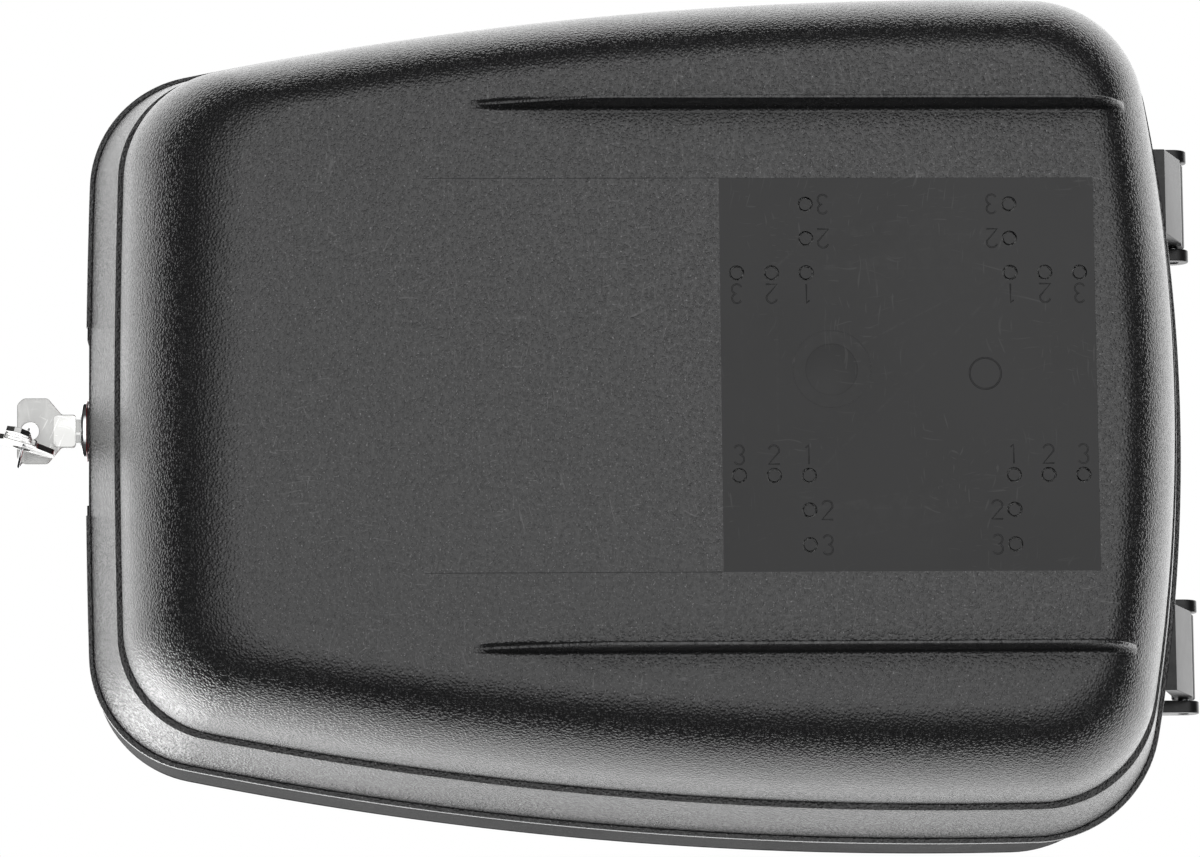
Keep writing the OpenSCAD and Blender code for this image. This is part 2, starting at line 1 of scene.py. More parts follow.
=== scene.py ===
"""Looks of a lockable bicycle top case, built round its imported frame.

Every class holds one sub-assembly: its fields are sizes in millimetres, and its methods build the pieces,
dress them in a finish and hand them to the body that they move with.
"""

import json
import logging
import math
from collections.abc import Callable, Sequence
from dataclasses import dataclass
from enum import Enum

import bmesh
import bpy
import numpy as np
from mathutils import Matrix, Vector

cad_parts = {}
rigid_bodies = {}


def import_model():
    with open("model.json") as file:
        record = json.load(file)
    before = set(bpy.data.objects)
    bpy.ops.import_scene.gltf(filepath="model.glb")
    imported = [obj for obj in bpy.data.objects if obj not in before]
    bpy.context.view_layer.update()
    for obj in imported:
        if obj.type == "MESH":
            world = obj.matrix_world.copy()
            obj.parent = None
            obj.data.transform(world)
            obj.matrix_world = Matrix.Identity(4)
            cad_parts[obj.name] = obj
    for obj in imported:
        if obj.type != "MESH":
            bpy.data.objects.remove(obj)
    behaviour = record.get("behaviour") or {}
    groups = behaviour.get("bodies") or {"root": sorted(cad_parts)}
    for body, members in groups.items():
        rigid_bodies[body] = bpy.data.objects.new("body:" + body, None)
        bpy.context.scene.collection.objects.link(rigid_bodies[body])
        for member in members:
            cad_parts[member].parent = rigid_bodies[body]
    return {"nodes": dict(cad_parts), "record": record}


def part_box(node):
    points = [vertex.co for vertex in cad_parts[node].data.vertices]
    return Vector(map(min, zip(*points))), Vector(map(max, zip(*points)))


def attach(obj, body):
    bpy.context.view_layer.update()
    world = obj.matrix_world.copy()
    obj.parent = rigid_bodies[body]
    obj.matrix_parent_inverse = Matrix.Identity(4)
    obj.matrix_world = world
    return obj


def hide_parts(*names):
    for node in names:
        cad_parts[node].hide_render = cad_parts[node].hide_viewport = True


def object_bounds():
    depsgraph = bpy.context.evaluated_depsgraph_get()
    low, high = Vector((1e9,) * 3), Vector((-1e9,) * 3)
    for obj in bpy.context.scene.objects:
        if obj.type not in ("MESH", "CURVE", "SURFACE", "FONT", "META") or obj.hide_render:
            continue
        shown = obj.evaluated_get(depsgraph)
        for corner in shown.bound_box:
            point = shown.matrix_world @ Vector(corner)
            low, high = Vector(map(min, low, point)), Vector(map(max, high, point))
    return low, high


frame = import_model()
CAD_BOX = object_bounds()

MM = 0.001
log = logging.getLogger("top_case")

Inset = tuple[float, float, float]
Point2 = tuple[float, float]


class Body(Enum):
    """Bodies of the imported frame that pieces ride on."""

    BASE = "base"
    LID = "lid"
    PLUG = "plug"
    RING = "ring"
    SPARE = "spare"


class Axis(Enum):
    """Directions that a turned or extruded piece can run along."""

    X = "x"
    Y = "y"
    Z = "z"


# ---------------------------------------------------------------- places


def box_mm(node: str) -> tuple[Vector, Vector]:
    """Finds where a CAD node is.

    Args:
        node: name of the node.

    Returns:
        Its lowest and highest corners in millimetres.
    """
    low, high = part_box(node)
    return Vector(low) / MM, Vector(high) / MM


def joint_of(name: str) -> dict:
    """Looks up a joint of the record.

    Args:
        name: name of the joint.

    Returns:
        The joint's entry in the record.
    """
    return next(j for j in frame["record"]["behaviour"]["joints"] if j["name"] == name)


def joint_mm(name: str) -> Vector:
    """Finds where a joint's axis passes, in millimetres."""
    return Vector(joint_of(name)["pos_m"]) / MM


@dataclass(frozen=True)
class Outline:
    """Arcs that make the outline of both shells, seen from above."""

    half_width: float
    lock_reach: float
    hinge_reach: float
    widest_y: float = 23.0
    side_bow: float = 1360.0
    lock_bow: float = 2800.0
    hinge_bow: float = 640.0
    lock_corner: float = 42.0
    hinge_corner: float = 46.0
    corner_share: float = 0.45
    side_points: int = 44
    corner_points: int = 22
    end_points: int = 18

    @staticmethod
    def _meet(c1: np.ndarray, r1: float, c2: np.ndarray, r2: float, side: int) -> np.ndarray:
        """Crosses two circles.

        Args:
            c1: centre of the first circle.
            r1: its radius.
            c2: centre of the second circle.
            r2: its radius.
            side: 1 or -1 for the crossing wanted.

        Returns:
            The crossing point.
        """
        gap = np.linalg.norm(c2 - c1)
        along = (r1 * r1 - r2 * r2 + gap * gap) / (2 * gap)
        off = math.sqrt(r1 * r1 - along * along)
        u = (c2 - c1) / gap
        return c1 + along * u + side * off * np.array([-u[1], u[0]])

    @staticmethod
    def _arc(c: np.ndarray, r: float, a0: float, a1: float, count: int) -> np.ndarray:
        """Steps along an arc, without its last point.

        Args:
            c: centre.
            r: radius.
            a0: first angle in radians.
            a1: last angle in radians.
            count: number of points.

        Returns:
            The points, one a row.
        """
        a = a0 + (a1 - a0) * np.arange(count) / count
        return c + r * np.c_[np.cos(a), np.sin(a)]

    def ring(self, inset: Inset) -> np.ndarray:
        """Makes the outline moved inwards.

        Args:
            inset: distances at the sides, the lock end and the hinge end.

        Returns:
            The points, anticlockwise from the middle of the lock end.
        """
        rs, rl, rh = self.side_bow - inset[0], self.lock_bow - inset[1], self.hinge_bow - inset[2]
        cs = np.array([self.half_width - self.side_bow, self.widest_y])
        cl = np.array([0.0, self.lock_bow - self.lock_reach])
        ch = np.array([0.0, self.hinge_reach - self.hinge_bow])
        ql = max(self.lock_corner - inset[0] * self.corner_share, self.lock_corner / 3)
        qh = max(self.hinge_corner - inset[0] * self.corner_share, self.hinge_corner / 3)
        fl = self._meet(cs, rs - ql, cl, rl - ql, -1)
        fh = self._meet(cs, rs - qh, ch, rh - qh, 1)
        al, sl, sh, ah = (math.atan2(v[1], v[0]) for v in (fl - cl, fl - cs, fh - cs, fh - ch))
        half = np.vstack([
            self._arc(cl, rl, -math.pi / 2, al, self.end_points),
            self._arc(fl, ql, al, sl, self.corner_points),
            self._arc(cs, rs, sl, sh, self.side_points),
            self._arc(fh, qh, sh, ah, self.corner_points),
            self._arc(ch, rh, ah, math.pi / 2, self.end_points),
        ])
        mirrored = half[:0:-1] * [-1, 1]
        return np.vstack([half, [[0, self.hinge_reach - inset[2]]], mirrored])

    def hinge_edge(self, x: float, inset: float) -> float:
        """Finds how far the hinge end reaches.

        Args:
            x: distance from the middle of the case.
            inset: distance inside the lip.

        Returns:
            The Y of the edge there.
        """
        return self.hinge_reach - self.hinge_bow + math.sqrt((self.hinge_bow - inset) ** 2 - x * x)


def same(v: float) -> Inset:
    """Gives one inset for all three stretches of the outline."""
    return (v, v, v)


def plus(a: Inset, b: Inset, share: float = 1.0) -> Inset:
    """Adds a share of one inset to another.

    Args:
        a: first inset.
        b: second inset.
        share: factor on the second one.

    Returns:
        The sum.
    """
    return tuple(p + share * q for p, q in zip(a, b))


# ---------------------------------------------------------------- meshes


def smooth_by_angle(mesh: bpy.types.Mesh, degrees: float = 32.0) -> None:
    """Shades a mesh smooth and keeps edges sharper than an angle.

    Args:
        mesh: mesh to shade.
        degrees: angle between faces above which an edge stays sharp.
    """
    bm = bmesh.new()
    bm.from_mesh(mesh)
    bmesh.ops.remove_doubles(bm, verts=bm.verts, dist=0.002 * MM)
    bmesh.ops.dissolve_degenerate(bm, edges=bm.edges, dist=0.001 * MM)
    limit = math.radians(degrees)
    for face in bm.faces:
        face.smooth = True
    for edge in bm.edges:
        edge.smooth = len(edge.link_faces) == 2 and edge.calc_face_angle(0.0) < limit
    bm.to_mesh(mesh)
    bm.free()


def mesh_piece(name: str, points: np.ndarray, faces: Sequence[Sequence[int]]) -> bpy.types.Object:
    """Makes an object from points in millimetres.

    Args:
        name: name of the piece.
        points: corner points, one a row.
        faces: corner numbers of each face.

    Returns:
        The new object.
    """
    mesh = bpy.data.meshes.new(name)
    mesh.from_pydata((np.asarray(points, dtype=float) * MM).tolist(), [], [list(f) for f in faces])
    mesh.update()
    piece = bpy.data.objects.new(name, mesh)
    bpy.context.scene.collection.objects.link(piece)
    return piece


def loft(name: str, rings: Sequence[np.ndarray], closed: bool = False) -> bpy.types.Object:
    """Skins a stack of rings with the same number of points.

    Args:
        name: name of the piece.
        rings: rings of points in millimetres.
        closed: joins the last ring to the first instead of capping both.

    Returns:
        The new object.
    """
    count, n = len(rings), len(rings[0])
    faces: list[list[int]] = []
    for k in range(count if closed else count - 1):
        low, high = k * n, ((k + 1) % count) * n
        faces += [[low + i, low + (i + 1) % n, high + (i + 1) % n, high + i] for i in range(n)]
    if not closed:
        faces.append(list(range(n - 1, -1, -1)))
        faces.append([(count - 1) * n + i for i in range(n)])
    return mesh_piece(name, np.vstack(rings), faces)


def turned(name: str, profile: Sequence[Point2], centre: Vector, axis: Axis, hollow: bool = False,
           steps: int = 96) -> bpy.types.Object:
    """Turns a profile about an axis.

    Args:
        name: name of the piece.
        profile: (radius, distance along the axis) points in millimetres.
        centre: where the axis starts.
        axis: direction of the axis.
        hollow: the profile is a closed loop round a bore.
        steps: points round the axis.

    Returns:
        The new object.
    """
    a = np.arange(steps) / steps * 2 * math.pi
    rings = []
    for r, t in profile:
        ring = {
            Axis.X: np.c_[np.full(steps, t), r * np.cos(a), r * np.sin(a)],
            Axis.Y: np.c_[r * np.sin(a), np.full(steps, t), r * np.cos(a)],
            Axis.Z: np.c_[r * np.cos(a), r * np.sin(a), np.full(steps, t)],
        }[axis]
        rings.append(ring + np.array(centre))
    piece = loft(name, rings, closed=hollow)
    fix_normals(piece)
    return piece


def fix_normals(piece: bpy.types.Object) -> None:
    """Turns all faces of a closed piece outwards."""
    bm = bmesh.new()
    bm.from_mesh(piece.data)
    bmesh.ops.recalc_face_normals(bm, faces=bm.faces)
    bm.to_mesh(piece.data)
    bm.free()


def baked(piece: bpy.types.Object) -> bpy.types.Object:
    """Applies the modifiers of a piece to its mesh.

    Args:
        piece: object with modifiers.

    Returns:
        The same object.
    """
    graph = bpy.context.evaluated_depsgraph_get()
    mesh = bpy.data.meshes.new_from_object(piece.evaluated_get(graph))
    old = piece.data
    piece.modifiers.clear()
    piece.data = mesh
    if isinstance(old, bpy.types.Mesh):
        bpy.data.meshes.remove(old)
    return piece


def combine(piece: bpy.types.Object, tools: Sequence[bpy.types.Object], operation: str) -> None:
    """Cuts tools out of a piece, or adds them to it, and removes the tools.

    Args:
        piece: closed mesh that changes.
        tools: closed meshes.
        operation: DIFFERENCE or UNION.
    """
    for tool in tools:
        step = piece.modifiers.new("shape", "BOOLEAN")
        step.operation = operation
        step.solver = "MANIFOLD"
        step.object = tool
        baked(piece)
        mesh = tool.data
        bpy.data.objects.remove(tool)
        bpy.data.meshes.remove(mesh)


def block(name: str, low: Sequence[float], high: Sequence[float]) -> bpy.types.Object:
    """Makes a rectangular tool between two corners, in millimetres.

    Args:
        name: name of the tool.
        low: lowest corner.
        high: highest corner.

    Returns:
        The new object.
    """
    (x0, y0, z0), (x1, y1, z1) = low, high
    ring = np.array([[x0, y0], [x1, y0], [x1, y1], [x0, y1]])
    return loft(name, [np.c_[ring, np.full(4, z0)], np.c_[ring, np.full(4, z1)]])


def plate(name: str, outlines: Sequence[Sequence[Point2]], thickness: float, bevel: float,
          place: Matrix) -> bpy.types.Object:
    """Makes a flat plate with softened edges from an outline and its holes.

    Args:
        name: name of the piece.
        outlines: the outline and then any holes, in millimetres.
        thickness: plate thickness, centred on its own plane.
        bevel: width of the softened edge.
        place: matrix, in millimetres, that takes the plate's plane to its place.

    Returns:
        The new object.
    """
    curve = bpy.data.curves.new(name, "CURVE")
    curve.dimensions = "2D"
    curve.fill_mode = "BOTH"
    for outline in outlines:
        spline = curve.splines.new("POLY")
        spline.points.add(len(outline) - 1)
        for point, (x, y) in zip(spline.points, outline):
            point.co = (x * MM, y * MM, 0, 1)
        spline.use_cyclic_u = True
    curve.extrude = (thickness / 2 - bevel) * MM
    curve.bevel_depth = bevel * MM
    curve.offset = -bevel * MM
    curve.bevel_resolution = 2
    holder = bpy.data.objects.new(name, curve)
    bpy.context.scene.collection.objects.link(holder)
    graph = bpy.context.evaluated_depsgraph_get()
    mesh = bpy.data.meshes.new_from_object(holder.evaluated_get(graph))
    bpy.data.objects.remove(holder)
    bpy.data.curves.remove(curve)
    move = Matrix.Scale(MM, 4) @ place @ Matrix.Scale(1 / MM, 4)
    mesh.transform(move)
    piece = bpy.data.objects.new(name, mesh)
    bpy.context.scene.collection.objects.link(piece)
    smooth_by_angle(mesh)
    fix_normals(piece)
    return piece


def tube(name: str, paths: Sequence[Sequence[Sequence[float]]], radius: float, flat: float = 1.0,
         cyclic: bool = False) -> bpy.types.Object:
    """Sweeps a round section along paths.

    Args:
        name: name of the piece.
        paths: lists of points in millimetres.
        radius: radius of the section.
        flat: height of the section as a share of its width.
        cyclic: closes every path.

    Returns:
        The new mesh object.
    """
    curve = bpy.data.curves.new(name, "CURVE")
    curve.dimensions = "3D"
    for path in paths:
        spline = curve.splines.new("POLY")
        spline.points.add(len(path) - 1)
        for point, p in zip(spline.points, path):
            point.co = (p[0] * MM, p[1] * MM, p[2] * MM * flat, 1)
        spline.use_cyclic_u = cyclic
    curve.bevel_depth = radius * MM
    curve.bevel_resolution = 4
    curve.use_fill_caps = True
    holder = bpy.data.objects.new(name, curve)
    bpy.context.scene.collection.objects.link(holder)
    graph = bpy.context.evaluated_depsgraph_get()
    mesh = bpy.data.meshes.new_from_object(holder.evaluated_get(graph))
    bpy.data.objects.remove(holder)
    bpy.data.curves.remove(curve)
    for vertex in mesh.vertices:
        vertex.co.z /= flat
    piece = bpy.data.objects.new(name, mesh)
    bpy.context.scene.collection.objects.link(piece)
    smooth_by_angle(mesh)
    return piece


def joined(name: str, pieces: Sequence[bpy.types.Object]) -> bpy.types.Object:
    """Joins pieces of one finish into one object.

    Args:
        name: name of the result.
        pieces: mesh objects.

    Returns:
        The new object.
    """
    bm = bmesh.new()
    for piece in pieces:
        bm.from_mesh(piece.data)
        mesh = piece.data
        bpy.data.objects.remove(piece)
        bpy.data.meshes.remove(mesh)
    mesh = bpy.data.meshes.new(name)
    bm.to_mesh(mesh)
    bm.free()
    result = bpy.data.objects.new(name, mesh)
    bpy.context.scene.collection.objects.link(result)
    return result


# ---------------------------------------------------------------- shader effects


@dataclass
class Wiring:
    """Adds nodes to one shader tree and links them."""

    tree: bpy.types.NodeTree

    def add(self, kind: str, **settings: object) -> bpy.types.Node:
        """Adds a node.

        Args:
            kind: node type, without the ShaderNode prefix.
            settings: attributes to set on the node.

        Returns:
            The node.
        """
        node = self.tree.nodes.new(kind if kind.startswith("Node") else "ShaderNode" + kind)
        for key, value in settings.items():
            setattr(node, key, value)
        return node

    def link(self, source: bpy.types.NodeSocket, target: bpy.types.NodeSocket) -> None:
        """Links an output to an input."""
        self.tree.links.new(source, target)

    def maths(self, operation: str, first: object, second: object = None) -> bpy.types.NodeSocket:
        """Adds a maths node.

        Args:
            operation: Blender's name of the operation.
            first: socket or number.
            second: socket or number, if the operation has one.

        Returns:
            The result's socket.
        """
        node = self.add("Math", operation=operation)
        for socket, value in zip(node.inputs, (first, second)):
            if isinstance(value, bpy.types.NodeSocket):
                self.link(value, socket)
            elif value is not None:
                socket.default_value = value
        return node.outputs[0]

    def span(self, value: bpy.types.NodeSocket, low: float, high: float, to_low: float = 0.0,
             to_high: float = 1.0) -> bpy.types.NodeSocket:
        """Maps a range of values onto another, clamped.

        Args:
            value: socket to map.
            low: value that gives to_low.
            high: value that gives to_high.
            to_low: result at the low end.
            to_high: result at the high end.

        Returns:
            The result's socket.
        """
        node = self.add("MapRange", interpolation_type="SMOOTHSTEP")
        self.link(value, node.inputs["Value"])
        for name, number in (("From Min", low), ("From Max", high), ("To Min", to_low), ("To Max", to_high)):
            node.inputs[name].default_value = number
        return node.outputs["Result"]

    def noise(self, vector: bpy.types.NodeSocket, scale: float, detail: float = 2.0,
              rough: float = 0.5) -> bpy.types.NodeSocket:
        """Adds a noise texture.

        Args:
            vector: coordinates.
            scale: scale of the noise.
            detail: octaves.
            rough: strength of the fine octaves.

        Returns:
            The noise value's socket.
        """
        node = self.add("TexNoise", noise_dimensions="3D")
        self.link(vector, node.inputs["Vector"])
        node.inputs["Scale"].default_value = scale
        node.inputs["Detail"].default_value = detail
        node.inputs["Roughness"].default_value = rough
        return node.outputs["Fac"]


class Effect(Enum):
    """Shader effects that several finishes share."""

    GRAIN = "moulded_grain"
    WEAR = "edge_wear"
    SCRATCHES = "fine_scratches"
    FILM = "dust_film"


class Effects:
    """Builds each shared shader effect once, as a node group."""

    def __init__(self) -> None:
        """Starts with no groups built."""
        self._built: dict[Effect, bpy.types.NodeTree] = {}
        self._makers: dict[Effect, Callable[[], bpy.types.NodeTree]] = {
            Effect.GRAIN: self._grain,
            Effect.WEAR: self._wear,
            Effect.SCRATCHES: self._scratches,
            Effect.FILM: self._film,
        }

    def get(self, effect: Effect) -> bpy.types.NodeTree:
        """Gives the group of an effect.

        Args:
            effect: effect wanted.

        Returns:
            Its node group, built at the first call.
        """
        if effect not in self._built:
            self._built[effect] = self._makers[effect]()
        return self._built[effect]

    @staticmethod
    def _group(effect: Effect, inputs: dict[str, float], outputs: Sequence[str]) -> tuple:
        """Starts a node group.

        Args:
            effect: effect that the group is for.
            inputs: names and default values of its inputs.
            outputs: names of its outputs.

        Returns:
            The tree, its wiring, the input node, the output node and the piece's own coordinates.
        """
        tree = bpy.data.node_groups.new(effect.value, "ShaderNodeTree")
        for name, value in inputs.items():
            socket = tree.interface.new_socket(name=name, in_out="INPUT", socket_type="NodeSocketFloat")
            socket.default_value = value
        for name in outputs:
            tree.interface.new_socket(name=name, in_out="OUTPUT", socket_type="NodeSocketFloat")
        wiring = Wiring(tree)
        source = wiring.add("NodeGroupInput")
        sink = wiring.add("NodeGroupOutput")
        place = wiring.add("TexCoord").outputs["Object"]
        return tree, wiring, source, sink, place

    def _grain(self) -> bpy.types.NodeTree:
        """Makes the leather-like grain of a mould, and a mask of painted glints: small spots on the grain
        painted bright like lit facets.
        """
        tree, w, source, sink, place = self._group(
            Effect.GRAIN, {"Cells per metre": 1100.0, "Painted glint share": 0.5}, ["Height", "Painted glint mask"])
        scaled = w.add("VectorMath", operation="SCALE")
        w.link(place, scaled.inputs[0])
        w.link(source.outputs["Cells per metre"], scaled.inputs["Scale"])
        at = scaled.outputs["Vector"]
        warp = w.add("TexNoise")
        w.link(at, warp.inputs["Vector"])
        warp.inputs["Scale"].default_value = 0.45
        bent = w.add("VectorMath", operation="ADD")
        w.link(at, bent.inputs[0])
        w.link(warp.outputs["Color"], bent.inputs[1])
        cells = w.add("TexVoronoi", feature="F1")
        w.link(bent.outputs["Vector"], cells.inputs["Vector"])
        cells.inputs["Scale"].default_value = 1.0
        pebble = w.span(cells.outputs["Distance"], 0.05, 0.75, 1.0, 0.0)
        fine = w.noise(at, 2.6, 2.0, 0.6)
        w.link(w.maths("ADD", pebble, w.maths("MULTIPLY", fine, 0.6)), sink.inputs["Height"])
        # Painted glints: random small spots that the finish paints in its lighter colour, standing for light
        # glinting off the grain.
        painted_glint_spots = w.span(w.noise(at, 1.3, 3.0, 0.7), 0.58, 0.74)
        w.link(w.maths("MULTIPLY", painted_glint_spots, source.outputs["Painted glint share"]), sink.inputs["Painted glint mask"])
        return tree

    def _wear(self) -> bpy.types.NodeTree:
        """Makes a mask of rubbed outer edges."""
        tree, w, source, sink, place = self._group(Effect.WEAR, {"Amount": 0.5}, ["Mask"])
        shape = w.add("NewGeometry").outputs["Pointiness"]
        edge = w.span(shape, 0.51, 0.58)
        patchy = w.span(w.noise(place, 240.0, 4.0, 0.65), 0.38, 0.66)
        w.link(w.maths("MULTIPLY", w.maths("MULTIPLY", edge, patchy), source.outputs["Amount"]),
               sink.inputs["Mask"])
        return tree

    def _scratches(self) -> bpy.types.NodeTree:
        """Makes a mask of thin scratches in two directions."""
        tree, w, source, sink, place = self._group(Effect.SCRATCHES, {"Amount": 0.5}, ["Mask"])
        total = None
        swirl = w.add("TexNoise")
        w.link(place, swirl.inputs["Vector"])
        swirl.inputs["Scale"].default_value = 22.0
        drift = w.add("VectorMath", operation="MULTIPLY_ADD")
        w.link(swirl.outputs["Color"], drift.inputs[0])
        drift.inputs[1].default_value = (0.03, 0.03, 0.03)
        w.link(place, drift.inputs[2])
        for turn, stretch in ((0.62, (1500.0, 90.0, 500.0)), (-0.85, (80.0, 1300.0, 420.0))):
            mapping = w.add("Mapping")
            w.link(drift.outputs["Vector"], mapping.inputs["Vector"])
            mapping.inputs["Rotation"].default_value = (0.15, 0.1, turn)
            mapping.inputs["Scale"].default_value = stretch
            line = w.span(w.noise(mapping.outputs["Vector"], 1.0, 1.0, 0.4), 0.68, 0.73)
            total = line if total is None else w.maths("MAXIMUM", total, line)
        gaps = w.span(w.noise(place, 26.0, 2.0), 0.42, 0.58)
        w.link(w.maths("MULTIPLY", w.maths("MULTIPLY", total, gaps), source.outputs["Amount"]),
               sink.inputs["Mask"])
        return tree

    def _film(self) -> bpy.types.NodeTree:
        """Makes a mask of uneven handling marks and dust."""
        tree, w, source, sink, place = self._group(Effect.FILM, {"Amount": 0.5}, ["Mask"])
        broad = w.span(w.noise(place, 14.0, 4.0, 0.6), 0.35, 0.7)
        specks = w.span(w.noise(place, 900.0, 2.0, 0.5), 0.68, 0.74)
        both = w.maths("ADD", w.maths("MULTIPLY", broad, 0.7), w.maths("MULTIPLY", specks, 0.3))
        w.link(w.maths("MULTIPLY", both, source.outputs["Amount"]), sink.inputs["Mask"])
        return tree


EFFECTS = Effects()


@dataclass(frozen=True)
class Finish:
    """One finish: its colours, gloss and surface detail, and the record's slot that it goes with."""

    name: str
    slot: str
    colour: tuple[float, float, float]
    # Lighter colour for rubbed edges and scratches, also used for the painted glints of the grain.
    worn_and_glint_colour: tuple[float, float, float]
    rough_low: float
    rough_high: float
    metallic: float = 0.0
    grain_mm: float = 0.8
    grain_height_mm: float = 0.0
    # Share of the grain painted lighter as glints: a painted highlight, not a colour of the plastic.
    facets: float = 0.0
    wear: float = 0.3
    scratches: float = 0.3
    film: float = 0.4
    scratch_depth_mm: float = 0.01
    coat: float = 0.0
    transmission: float = 0.0
    specular: float = 0.5

    def _effect(self, w: Wiring, effect: Effect, values: dict[str, float]) -> bpy.types.Node:
        """Places a shared effect in the material.

        Args:
            w: wiring of the material.
            effect: effect to place.
            values: values for its inputs.

        Returns:
            The group node.
        """
        node = w.add("Group")
        node.node_tree = EFFECTS.get(effect)
        for name, value in values.items():
            node.inputs[name].default_value = value
        return node

    def material(self) -> bpy.types.Material:
        """Builds the material, or gives the one that is built already."""
        if self.name in bpy.data.materials:
            return bpy.data.materials[self.name]
        made = bpy.data.materials.new(self.name)
        made.use_nodes = True
        made.diffuse_color = (*self.colour, 1)
        w = Wiring(made.node_tree)
        shader = made.node_tree.nodes["Principled BSDF"]
        grain = self._effect(w, Effect.GRAIN, {"Cells per metre": 1 / (self.grain_mm * MM),
                                               "Painted glint share": self.facets})
        wear = self._effect(w, Effect.WEAR, {"Amount": self.wear}).outputs["Mask"]
        lines = self._effect(w, Effect.SCRATCHES, {"Amount": self.scratches}).outputs["Mask"]
        film = self._effect(w, Effect.FILM, {"Amount": self.film}).outputs["Mask"]
        # Mask of the lighter colour: real wear and scratches, plus the painted glints of the grain.
        light = w.maths("MAXIMUM", wear, w.maths("MAXIMUM", lines, grain.outputs["Painted glint mask"]))
        mix = w.add("Mix", data_type="RGBA")
        w.link(light, mix.inputs["Factor"])
        mix.inputs["A"].default_value = (*self.colour, 1)
        mix.inputs["B"].default_value = (*self.worn_and_glint_colour, 1)
        w.link(mix.outputs["Result"], shader.inputs["Base Color"])
        rough = w.span(w.maths("ADD", film, w.maths("MULTIPLY", lines, 0.4)), 0.0, 0.8,
                       self.rough_low, self.rough_high)
        w.link(rough, shader.inputs["Roughness"])
        shine = w.span(w.maths("MAXIMUM", grain.outputs["Painted glint mask"], lines), 0.0, 0.6,
                       self.specular, min(1.0, self.specular * 2.2))
        w.link(shine, shader.inputs["Specular IOR Level"])
        shader.inputs["Metallic"].default_value = self.metallic
        shader.inputs["Coat Weight"].default_value = self.coat
        shader.inputs["Transmission Weight"].default_value = self.transmission
        relief = w.add("Bump")
        relief.inputs["Strength"].default_value = 1.0
        relief.inputs["Distance"].default_value = max(self.grain_height_mm, 0.002) * MM
        w.link(grain.outputs["Height"], relief.inputs["Height"])
        cuts = w.add("Bump", invert=True)
        cuts.inputs["Strength"].default_value = 0.6
        cuts.inputs["Distance"].default_value = self.scratch_depth_mm * MM
        w.link(lines, cuts.inputs["Height"])
        w.link(relief.outputs["Normal"], cuts.inputs["Normal"])
        w.link(cuts.outputs["Normal"], shader.inputs["Normal"])
        return made


# The facets value of each finish sets how strongly the grain's painted glints show.
CASE_GRAIN = Finish("case_grain", "black_pp", (0.010, 0.010, 0.0105), (0.11, 0.11, 0.112), 0.24, 0.36,
                    grain_mm=1.0, grain_height_mm=0.14, facets=0.8, wear=0.35, scratches=0.18)
CASE_SMOOTH = Finish("case_smooth", "black_pp", (0.008, 0.008, 0.0085), (0.07, 0.07, 0.07), 0.36, 0.50,
                     grain_mm=0.35, grain_height_mm=0.004, facets=0.04, wear=0.2, scratches=0.15,
                     specular=0.3)
LID_GRAIN = Finish("lid_grain", "lid_pp", (0.010, 0.010, 0.0105), (0.09, 0.09, 0.092), 0.65, 0.8,
                   grain_mm=1.0, grain_height_mm=0.1, facets=0.4, wear=0.35, scratches=0.4,
                   specular=0.05)
PIN_STEEL = Finish("hinge_pin_steel", "pin_steel", (0.52, 0.53, 0.54), (0.7, 0.7, 0.7), 0.28, 0.42,
                   metallic=1.0, grain_mm=0.3, grain_height_mm=0.004)
RED_LENS = Finish("reflector_red", "red_lens", (0.42, 0.008, 0.012), (0.62, 0.03, 0.03), 0.08, 0.2,
                  grain_mm=2.2, grain_height_mm=0.05, wear=0.1, scratches=0.2, coat=0.6, transmission=0.25)
BACKPLATE = Finish("backplate_plastic", "backplate_plastic", (0.045, 0.045, 0.045), (0.12, 0.12, 0.12),
                   0.4, 0.55, grain_mm=0.5, grain_height_mm=0.01)
SCREW_ZINC = Finish("screw_zinc", "zinc_screw", (0.56, 0.57, 0.58), (0.75, 0.75, 0.75), 0.25, 0.45,
                    metallic=1.0, grain_mm=0.3, grain_height_mm=0.006)
GASKET = Finish("gasket_rubber", "rubber", (0.02, 0.02, 0.02), (0.07, 0.07, 0.07), 0.6, 0.8,
                grain_mm=0.3, grain_height_mm=0.01)
LOCK_CHROME = Finish("lock_chrome", "chrome_zinc", (0.74, 0.75, 0.76), (0.85, 0.85, 0.85), 0.08, 0.26,
                     metallic=1.0, grain_mm=0.6, grain_height_mm=0.003, scratches=0.5)
PLUG_METAL = Finish("plug_metal", "plug_metal", (0.66, 0.67, 0.68), (0.8, 0.8, 0.8), 0.2, 0.38,
                    metallic=1.0, grain_mm=0.3, grain_height_mm=0.004)
WAFER_BRASS = Finish("wafer_brass", "brass", (0.68, 0.5, 0.2), (0.85, 0.7, 0.4), 0.25, 0.4,
                     metallic=1.0, grain_mm=0.3, grain_height_mm=0.004)
SPRING_STEEL = Finish("spring_steel", "spring_steel", (0.58, 0.59, 0.6), (0.7, 0.7, 0.7), 0.25, 0.4,
                      metallic=1.0, grain_mm=0.3, grain_height_mm=0.003)
NUT_ZINC = Finish("nut_zinc", "zinc_nut", (0.6, 0.6, 0.6), (0.75, 0.75, 0.75), 0.28, 0.45,
                  metallic=1.0, grain_mm=0.4, grain_height_mm=0.006)
CAM_STEEL = Finish("cam_steel", "cam_steel", (0.5, 0.51, 0.52), (0.68, 0.68, 0.68), 0.3, 0.48,
                   metallic=1.0, grain_mm=0.4, grain_height_mm=0.006)
KEY_NICKEL = Finish("key_nickel", "nickel_key", (0.34, 0.34, 0.335), (0.58, 0.58, 0.57), 0.3, 0.46,
                    metallic=1.0, grain_mm=0.25, grain_height_mm=0.012, scratches=0.7)
